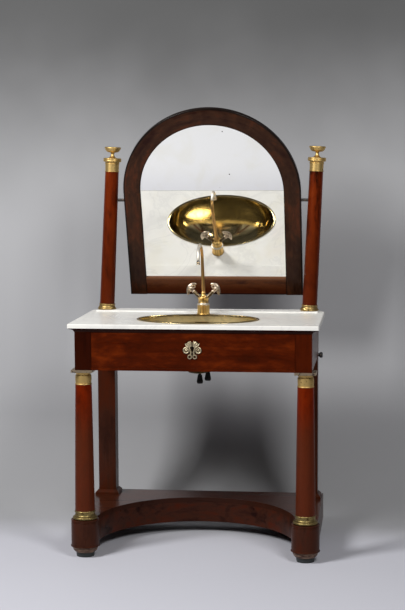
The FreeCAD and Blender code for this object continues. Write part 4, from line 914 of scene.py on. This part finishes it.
class WASHSTAND_OT_tap(Operator):
    """Turn the tap body with its arms, and bend the spout"""
    bl_idname = "washstand.tap"
    bl_label = "Tap"

    def execute(self, context):
        metal = context.scene.washstand.metal
        around = context.scene.washstand.turned.around
        x, y, seat = spout_seat
        middle = Matrix.Translation((x, y, 0))

        # Heights of the body, in millimetres above the marble
        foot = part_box("gaskets")[1].z
        shank = (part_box("tap_body")[0].z - foot) / mm
        drum, spool = 37.0, 61.0
        head = (seat - foot) / mm
        body = turning(foot, [
            (0, shank), (14.0, shank), (14.0, 0), (23.2, 0), (23.6, 1.4, 23.2, 2.8), (22.0, 3.8),
            (22.0, drum - 5.0), (21.4, drum - 4.5), (21.4, drum - 3.6), (22.2, drum - 3.0),
            (22.9, drum - 1.5, 22.2, drum), (20.0, drum + 0.4), (20.5, drum + 2.2, 20.0, drum + 4.0),
            (18.9, drum + 4.8), (18.2, drum + 12.0, 19.2, spool - 5.4), (20.0, spool - 4.8),
            (20.6, spool - 2.5, 20.0, spool - 0.2), (18.6, spool + 0.4), (12.6, spool + 2.6),
            (9.4, spool + 6.5, 8.2, head), (0, head)])
        plated = ("Z", foot + (drum - 3.5) * mm, foot + (drum + 3.0) * mm)
        # The gold's upright streaks are painted reflections.
        gold = tap_finish("tap_gold", metal.gold, metal.silver, 0.15, gloss=0.34, streak=9.0, zone=plated)
        turned = surface("tap_body_turned", [lathe(body, middle, around)])
        settle(turned, gold, "stand", "tap_metal", "tap_body")

        # A sloping arm has two rings, and is turned about its own axis and leant to 45 degrees
        start, end = 12.5, 48.0
        arm = turning(0, [
            (0, start), (6.8, start), (6.2, start + 10), (6.2, end - 14), (7.2, end - 12.5, 6.2, end - 11),
            (6.2, end - 4), (7.3, end - 2, 6.2, end), (0, end)])
        slopes = [Matrix.Translation(arm_crossing) @ Matrix.Rotation(side * math.radians(45), 4, "Y")
                  for side in sides]
        cast = tap_finish("arm_metal", metal.arm, metal.lever, 0.25, gloss=0.30)
        arms = [lathe(arm, slope, 32) for slope in slopes]
        settle(surface("tap_arms_turned", arms), cast, "stand", "tap_metal")

        # The spout is drawn upright, then leant about its seat as its swivel is
        tilt = Matrix.Rotation(math.atan2(spout_axis.x, spout_axis.z), 4, "Y")
        lean = Matrix.Translation(spout_seat) @ tilt @ Matrix.Translation(-spout_seat)
        girth = 5.4 * mm
        flare = 1.28
        crook = 52.0 * mm
        bend = seat + 124.5 * mm
        swing = math.radians(-1.0)
        ahead = np.array([math.sin(swing), -math.cos(swing), 0])
        up = np.array([0, 0, 1.0])
        rise = np.linspace(seat + 6.0 * mm, bend, 24)[:-1]
        turn = np.linspace(0, math.pi, 40)
        reach = np.concatenate([rise * 0, crook * (1 - np.cos(turn))])
        height = np.concatenate([rise, bend + crook * np.sin(turn)])
        line = np.array([x, y, 0]) + reach[:, None] * ahead + height[:, None] * up
        girths = girth * np.interp(np.arange(len(line)), [0, len(rise)], [flare, 1.0])
        collar = turning(seat, [(0, 0.6), (8.0, 0.6), (8.6, 1.6, 8.0, 2.6), (7.2, 4.4, 6.9, 8.0), (0, 8.0)])
        grids = [tube(line, girths, np.cross(ahead, up), 28), lathe(collar, middle, around)]
        plated = ("Y", y - 3.0 * crook, y - 0.6 * crook)
        # The bronze's upright streaks are painted reflections.
        bronze = tap_finish("spout_bronze", metal.bronze, metal.silver, 0.10, gloss=0.36, streak=9.0,
                            zone=plated)
        settle(surface("spout_bent", [moved(g, lean) for g in grids]), bronze, "spout", "tap_metal", "spout")

        nozzle = turning(bend, [
            (0, 1.0), (5.6, 1.0), (5.6, -4.0), (6.4, -4.6), (6.8, -6.0, 6.4, -7.4), (5.8, -8.0), (5.8, -11.0),
            (6.5, -11.8), (6.8, -13.4, 6.4, -15.0), (3.5, -15.0), (3.5, -8.0), (0, -8.0)])
        tip = lathe(nozzle, lean @ Matrix.Translation((*line[-1][:2], 0)), 40)
        bright = tap_finish("nozzle_silver", metal.gold, metal.silver, 0.7)
        settle(surface("spout_nozzle_turned", [tip]), bright, "spout", "tap_metal", "spout_nozzle")
        dress(dull_metal("black_pipe", metal.pipe, roughness=0.45), "supply_tails", "tail_nuts")
        dress(worn_brass("nut_brass", metal.gilt, metal.tarnish, gloss=0.35, wear=0.5), "tap_back_nut",
              "tap_spindle_left", "tap_spindle_right")
        dress(dull_metal("leather_ring", metal.leather, roughness=0.6), "gaskets")
        return {"FINISHED"}


class WASHSTAND_OT_handles(Operator):
    """Model the two levers, shaped like birds' heads with curled crests"""
    bl_idname = "washstand.handles"
    bl_label = "Tap levers"

    def execute(self, context):
        metal = context.scene.washstand.metal
        finish = tap_finish("lever_metal", metal.lever, metal.arm, 0.30, gloss=0.34)
        across = np.array([0, 1.0, 0])

        # In millimetres out along the arm and up over it, the lever is one curl from the beak over the crown
        # to the tail, on a short neck, with a hook below the beak and a feather behind
        curl = smooth_path([(60, 25.5), (65, 22), (70, 13), (71.5, 2), (68, -9), (61, -18),
                            (54.5, -24.5)], 60)
        curl_girth = np.interp(np.linspace(0, 1, len(curl)), [0, 0.12, 0.35, 0.52, 0.75, 1],
                               [1.4, 3.6, 7.4, 8.0, 5.4, 1.8])
        out = np.linspace(48.5, 69, 16)
        neck_girth = np.interp(out, [48.5, 50.5, 53, 59, 64, 69], [7.2, 7.2, 5.4, 8.6, 9.4, 8.0])
        hook = smooth_path([(61, 17), (57.5, 15), (57, 10.5), (60.5, 9.5)], 24)
        feather = smooth_path([(66, -4), (60, -12), (57, -20), (60.5, -24)], 24)
        runs = ((curl, curl_girth, 20, 0.78), (grid(out, 0), neck_girth, 20, 1.0),
                (hook, np.linspace(3.4, 1.2, len(hook)), 12, 1.0),
                (feather, np.linspace(4.4, 1.5, len(feather)), 12, 1.0))
        eye, eye_out, eye_radius = (67.0, 10.0), 5.2 * mm, 1.9 * mm

        def at(points, side):
            """Places in the frame, on the arm of one side."""
            slope = half_root * np.array([[side, 0, 1], [-side, 0, 1]])
            return np.array(arm_crossing) + mm * (np.asarray(points) @ slope)

        for side, name in zip(sides, ("left", "right")):
            grids = [tube(at(path, side), girth * mm, across, around, flat)
                     for path, girth, around, flat in runs]
            grids += [dome(at(eye, side) + face * eye_out * across, eye_radius, 16, 9) for face in sides]
            piece = surface("tap_lever_" + name, grids)
            blend = piece.modifiers.new("cast", "REMESH")
            blend.mode = "VOXEL"
            blend.voxel_size = 0.8 * mm
            blend.use_smooth_shade = True
            settle(piece, finish, "tap_handle_" + name, "tap_metal", "tap_handle_" + name)
        return {"FINISHED"}


class WASHSTAND_OT_escutcheon(Operator):
    """Lay the scrolls, leaves and rings of the escutcheon over its plate"""
    bl_idname = "washstand.escutcheon"
    bl_label = "Escutcheon"

    def execute(self, context):
        metal = context.scene.washstand.metal
        low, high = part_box("escutcheon")
        width = (high.x - low.x) / 2
        keyhole = low.z + 0.96 * width
        depth = np.array([0, 1.0, 0])
        grids = []

        # Both halves are drawn as one, in half widths out from the keyhole and up from it
        def at(points, side):
            across, up = (np.asarray(points) * width).T
            return grid(side * across, low.y, keyhole + up)

        def rods(path, girth, around=10, flat=0.8):
            """A flattened tube on each half."""
            for side in sides:
                grids.append(tube(at(path, side), girth * width, depth, around, flat))

        # The side scroll is a spiral that winds in by 1.4 turns; its radius falls evenly with the angle
        eye_out, eye_up = 0.62, -0.04
        wind = np.linspace(0, 1, 60)
        turn = math.radians(115) - wind * 2 * math.pi * 1.4
        radius = 0.36 - 0.24 * wind
        scroll = grid(eye_out + radius * np.cos(turn), eye_up + radius * np.sin(turn))
        rods(scroll, np.linspace(0.075, 0.05, len(scroll)), 12)
        for side in sides:
            eye = at([(eye_out, eye_up)], side)[0]
            grids.append(dome(eye, np.array([0.10, 0.055, 0.10]) * width, 20, 11))

        # The palmette half is three fanned lobes, each a flattened swelling along a ray, and a tip
        swell = np.sin(np.linspace(0.35, 2.6, 20)) ** 0.8
        for lean, reach, size in ((0.20, 0.82, 0.12), (0.46, 0.82, 0.16), (0.78, 0.76, 0.14)):
            ray = np.linspace(0.22, reach, len(swell))
            rods(grid(0.06 + ray * math.sin(lean), 0.16 + ray * math.cos(lean)), size * swell, 14, 0.55)
        tip = smooth_path([(0.40, 0.32), (0.60, 0.46), (0.77, 0.70)], 20)
        rods(tip, np.linspace(0.11, 0.03, len(tip)), flat=0.7)

        # A stem runs beside the open keyhole, from the palmette down to a ring
        turn = np.linspace(0, 2 * math.pi, 40)
        rods(grid(0.27 + 0.19 * np.cos(turn), -0.71 + 0.19 * np.sin(turn)), 0.06)
        stem = smooth_path([(0.36, 0.34), (0.27, 0.14), (0.21, -0.08), (0.13, -0.26), (0.20, -0.42),
                            (0.10, -0.58)], 50)
        stem_girth = np.interp(np.linspace(0, 1, len(stem)), [0, 0.2, 0.5, 0.7, 1],
                               [0.05, 0.09, 0.09, 0.06, 0.06])
        rods(stem, stem_girth)
        brass = worn_brass("escutcheon_brass", metal.plate, metal.tarnish, gloss=0.40, wear=0.20)
        settle(surface("escutcheon_relief", grids), brass, "drawer", "pale_brass")
        # The dark ground under the scrolls is painted shade for the openings of the pierced work.
        dress(worn_brass("escutcheon_shaded_ground", metal.ground, metal.ground_worn, gloss=0.5, wear=0.5),
              "escutcheon", "escutcheon_pins")
        return {"FINISHED"}


class WASHSTAND_OT_posts(Operator):
    """Turn the leaning mirror posts with their rings, collars and dished finials"""
    bl_idname = "washstand.posts"
    bl_label = "Mirror posts"

    def execute(self, context):
        settings = context.scene.washstand
        wood, metal, turned = settings.wood, settings.metal, settings.turned

        # Sizes in millimetres, with heights along the leaning axis
        foot, head = turned.post_foot / mm, turned.post_head / mm
        total = 596.5
        ring_top = 21.5
        dish_low = total - 24.0
        flange_top = dish_low - 16.5
        flange_low = flange_top - 14.0
        shaft_top = flange_low - 36.0

        rise = np.linspace(0, 1, 24)
        side = grid(foot + (head - foot) * rise, ring_top + (shaft_top - ring_top) * rise)
        shaft = turning(0, [(0, ring_top), *side, (0, shaft_top)])
        ring = turning(0, [
            (0, -1.5), (32.9, -1.5), (32.9, 1.0), (33.5, 3.4, 32.5, 6.0), (31.4, 7.4),
            (foot + 2.0, 11.5, foot + 1.2, 15.5), (foot + 1.8, 16.2), (foot + 2.4, 18.4, foot + 1.8, 20.6),
            (foot + 0.6, ring_top), (0, ring_top)])
        wide = 25.6
        z, f = shaft_top, flange_low
        collar = turning(0, [
            (0, z), (wide - 0.3, z), (wide + 1.2, z + 1.4, wide - 0.3, z + 2.8), (wide - 0.8, z + 3.4),
            (wide - 0.4, f - 8.5), (wide + 0.4, f - 8.0), (wide + 1.2, f - 6.6, wide + 0.4, f - 5.2),
            (wide - 0.4, f - 4.6), (wide + 0.4, f - 0.6), (29.8, f), (33.0, f + 3.5, 31.4, f + 7.0),
            (33.0, f + 10.5, 29.8, flange_top), (25.2, flange_top),
            (10.2, flange_top + 4.2, 6.0, flange_top + 11.5), (6.0, dish_low), (0, dish_low)])
        z = dish_low
        dish = turning(0, [
            (0, z), (6.0, z), (7.4, z + 1.6, 6.6, z + 3.0), (9.0, z + 4.2), (23.0, z + 8.2, 28.2, z + 17.2),
            (30.0, z + 20.6, 28.2, total - 0.4), (26.6, total), (24.6, total - 0.8),
            (14.0, total - 5.2, 0, total - 6.0)])

        dull_below, bright_above = 0.90, 1.32
        red = mahogany("post_mahogany", wood, "Z", shade(wood.body, 1.8), wood.flame, figure=0.9,
                       fade=("Z", dull_below, bright_above, wood.post_foot))
        gilt = worn_brass("post_gilding", shade(metal.gilt, 1.15), metal.tarnish, gloss=0.42, wear=0.05)
        dim = worn_brass("ring_gilding", shade(metal.gilt, 0.60), metal.tarnish, gloss=0.42, wear=0.40)
        lean = Matrix.Rotation(math.atan2(pivot.x, pivot.z - ledge_top), 4, "Y")
        stands = [Matrix.Translation((way * turned.post_spread, pivot.y, ledge_top)) @ lean for way in sides]
        for node, profile, finish, slot in (
                ("posts", shaft, red, "mahogany"), ("post_rings", ring, dim, "gilt_brass"),
                ("post_collars", collar, gilt, "gilt_brass"), ("finial_dishes", dish, gilt, "gilt_brass")):
            turn_pair(node, profile, stands, turned.around, finish, slot)
        dress(dull_metal("dark_iron", metal.iron, roughness=0.35), "pivot_bushes", "pivot_rods",
              "post_bolts", "backboard_cleats", "lock_case", "lock_bolt")
        return {"FINISHED"}


class WASHSTAND_OT_mirror(Operator):
    """Carry the cross-banded frame section round the arch, down the stiles and along the sill"""
    bl_idname = "washstand.mirror"
    bl_label = "Mirror"

    def execute(self, context):
        settings = context.scene.washstand
        sizes, wood = settings.mirror, settings.wood
        tilt = Matrix.Translation(pivot) @ Matrix.Rotation(sizes.tilt, 4, "X")
        glow = shade(wood.band, 2.4, 1.6, 1.2)
        banding = mahogany("banding_mahogany", wood, "Y", wood.band, glow, polish=0.11, figure=0.9,
                           band=sizes.band, rim=(4 * mm, wood.frame_edge_black))
        foot_darker = ("X", 14 * mm, 52 * mm, wood.sill_foot)
        # The lighter band of the sill at the glass is a painted highlight of its bevel.
        sill = mahogany("sill_mahogany", wood, "Y", wood.sill, glow, polish=0.11, figure=0.6,
                        fade=foot_darker, band=sizes.sill_band, rim=(11 * mm, wood.sill_bevel_highlight))

        def section(band):
            """Distance in from the outer edge, and depth behind the front: rounded edges and a rebate."""
            e, t, lip = sizes.edge, sizes.thickness, sizes.lip
            k = (1 - half_root) * e
            step = band - sizes.rebate
            return outline([(0, t), (0, e), (k, k, e, 0), (band - e, 0), (band - k, k, band, e), (band, lip),
                            (step, lip), (step, t), (0, t)], 6)[:-1]

        def carry(node, places, inward, travel, band, finish, twin=False):
            """A length of frame: the section set along a line of places, each with its own inward direction.

            A point is place + distance * inward + depth backwards; its grain runs along inward.
            A twin is the same length on the other side, from another stretch of the grain.
            """
            shape = section(band)
            back = shape[:, 1] - sizes.thickness / 2
            inward = np.broadcast_to(inward, places.shape)[:, None, :]
            points = places[:, None, :] + shape[:, :1] * inward + grid(0, back, 0)
            grain = grid(shape[:, 0], travel[:, None], back)
            grids, grains = [capped(points)], [capped(grain)]
            if twin:
                grids.append(capped(points * (-1, 1, 1)))
                grains.append(capped(grain + (0, twin_grain, 0)))
            piece = surface(node + "_banded", [moved(g, tilt) for g in grids], grains)
            settle(piece, finish, "mirror", "mahogany", node)

        # Places on the veneer, in metres, that keep the lengths of frame from looking alike
        twin_grain, sill_grain = 3.0, 7.0
        outer = sizes.half_width
        turn = np.linspace(0, math.pi, 121)
        ray = grid(np.cos(turn), 0, np.sin(turn))
        carry("mirror_arch", outer * ray + (0, 0, sizes.spring), -ray, outer * turn, sizes.band, banding)
        drop = np.linspace(-sizes.sill_drop, sizes.spring, 40)
        carry("mirror_stiles", grid(outer, 0, drop), (-1, 0, 0), drop, sizes.band, banding, True)
        reach = outer - sizes.band
        run = np.linspace(-reach, reach, 40)
        bottom = grid(run, 0, -sizes.sill_drop)
        carry("mirror_sill", bottom, (0, 0, 1), run + sill_grain, sizes.sill_band, sill)
        dress(old_mirror(settings.stone), "mirror_glass")
        return {"FINISHED"}


class WASHSTAND_OT_stage(Operator):
    """Set the floor, the backdrop, the lamps and the camera"""
    bl_idname = "washstand.stage"
    bl_label = "Stage"

    def execute(self, context):
        stage = context.scene.washstand.stage
        scene = context.scene
        scene.view_settings.view_transform = "Standard"

        # The paper runs flat from the front, bends up behind the washstand and stands as the wall
        front, bend, wall, top, half_width = -7.0, 0.30, 0.65, 4.2, 4.0
        radius = wall - bend
        inset = radius * (1 - half_root)
        sweep = outline([(front, 0), (bend, 0), (wall - inset, inset, wall, radius), (wall, top)], 40)
        run = np.linspace(-half_width, half_width, 9)
        paper = surface("studio_paper", [grid(run, sweep[:, :1], sweep[:, 1:])], solid=False, closed=False)
        paper.data.materials.append(stage_paper(stage))

        for name, turn, power in (("lamp_left", stage.key_turn, stage.key),
                                  ("lamp_right", stage.fill_turn, stage.fill)):
            lamp = bpy.data.lights.new(name, "AREA")
            lamp.shape = "RECTANGLE"
            lamp.size, lamp.size_y = stage.lamp_width, stage.lamp_height
            lamp.energy = power
            level = math.cos(stage.lamp_rise)
            away = Vector((math.sin(turn) * level, -math.cos(turn) * level, math.sin(stage.lamp_rise)))
            holder = bpy.data.objects.new(name, lamp)
            holder.location = Vector((0, 0, stage.aim)) + away * stage.lamp_distance
            holder.rotation_euler = away.to_track_quat("Z", "Y").to_euler()
            scene.collection.objects.link(holder)

        scene.world = bpy.data.worlds.new("room")
        room = Nodes(scene.world)
        seen = room.light_path("Is Camera Ray") * (stage.room - stage.air)
        glint = room.light_path("Is Glossy Ray") * (stage.glint - stage.air)
        background = room.tree.nodes["Background"].inputs
        room.set_socket(background["Color"], stage.room_tint)
        room.set_socket(background["Strength"], seen + glint + stage.air)

        level = math.cos(stage.pitch)
        ahead = Vector((-math.sin(stage.yaw) * level, math.cos(stage.yaw) * level, -math.sin(stage.pitch)))
        right = Vector((math.cos(stage.yaw), math.sin(stage.yaw), 0))
        up = right.cross(ahead)
        c, s = math.cos(stage.roll), math.sin(stage.roll)
        right, up = c * right + s * up, c * up - s * right
        camera = bpy.data.cameras.new("camera")
        camera.lens = stage.lens
        camera.sensor_width = 36.0
        view = bpy.data.objects.new("camera", camera)
        turned = Matrix((right, up, -ahead)).transposed().to_4x4()
        view.matrix_world = Matrix.Translation(stage.eye) @ turned
        scene.collection.objects.link(view)
        scene.camera = view
        return {"FINISHED"}


class WASHSTAND_PT_panel(Panel):
    """Lists the pieces of the washstand"""
    bl_idname = "WASHSTAND_PT_panel"
    bl_label = "Washstand"
    bl_space_type = "VIEW_3D"
    bl_region_type = "UI"
    bl_category = "Washstand"

    def draw(self, context):
        for step in steps:
            self.layout.operator(step.bl_idname)


steps = (WASHSTAND_OT_boards, WASHSTAND_OT_columns, WASHSTAND_OT_feet, WASHSTAND_OT_marble,
         WASHSTAND_OT_basin, WASHSTAND_OT_tap, WASHSTAND_OT_handles, WASHSTAND_OT_escutcheon,
         WASHSTAND_OT_posts, WASHSTAND_OT_mirror, WASHSTAND_OT_stage)
classes = (WoodSettings, MetalSettings, StoneSettings, TurnedSettings, MirrorSettings, StageSettings,
           WashstandSettings, *steps, WASHSTAND_PT_panel)


def register():
    for cls in classes:
        bpy.utils.register_class(cls)
    bpy.types.Scene.washstand = PointerProperty(type=WashstandSettings)


def unregister():
    del bpy.types.Scene.washstand
    for cls in reversed(classes):
        bpy.utils.unregister_class(cls)


def main():
    register()
    for step in steps:
        group, name = step.bl_idname.split(".")
        getattr(getattr(bpy.ops, group), name)()


if __name__ == "__main__":
    main()
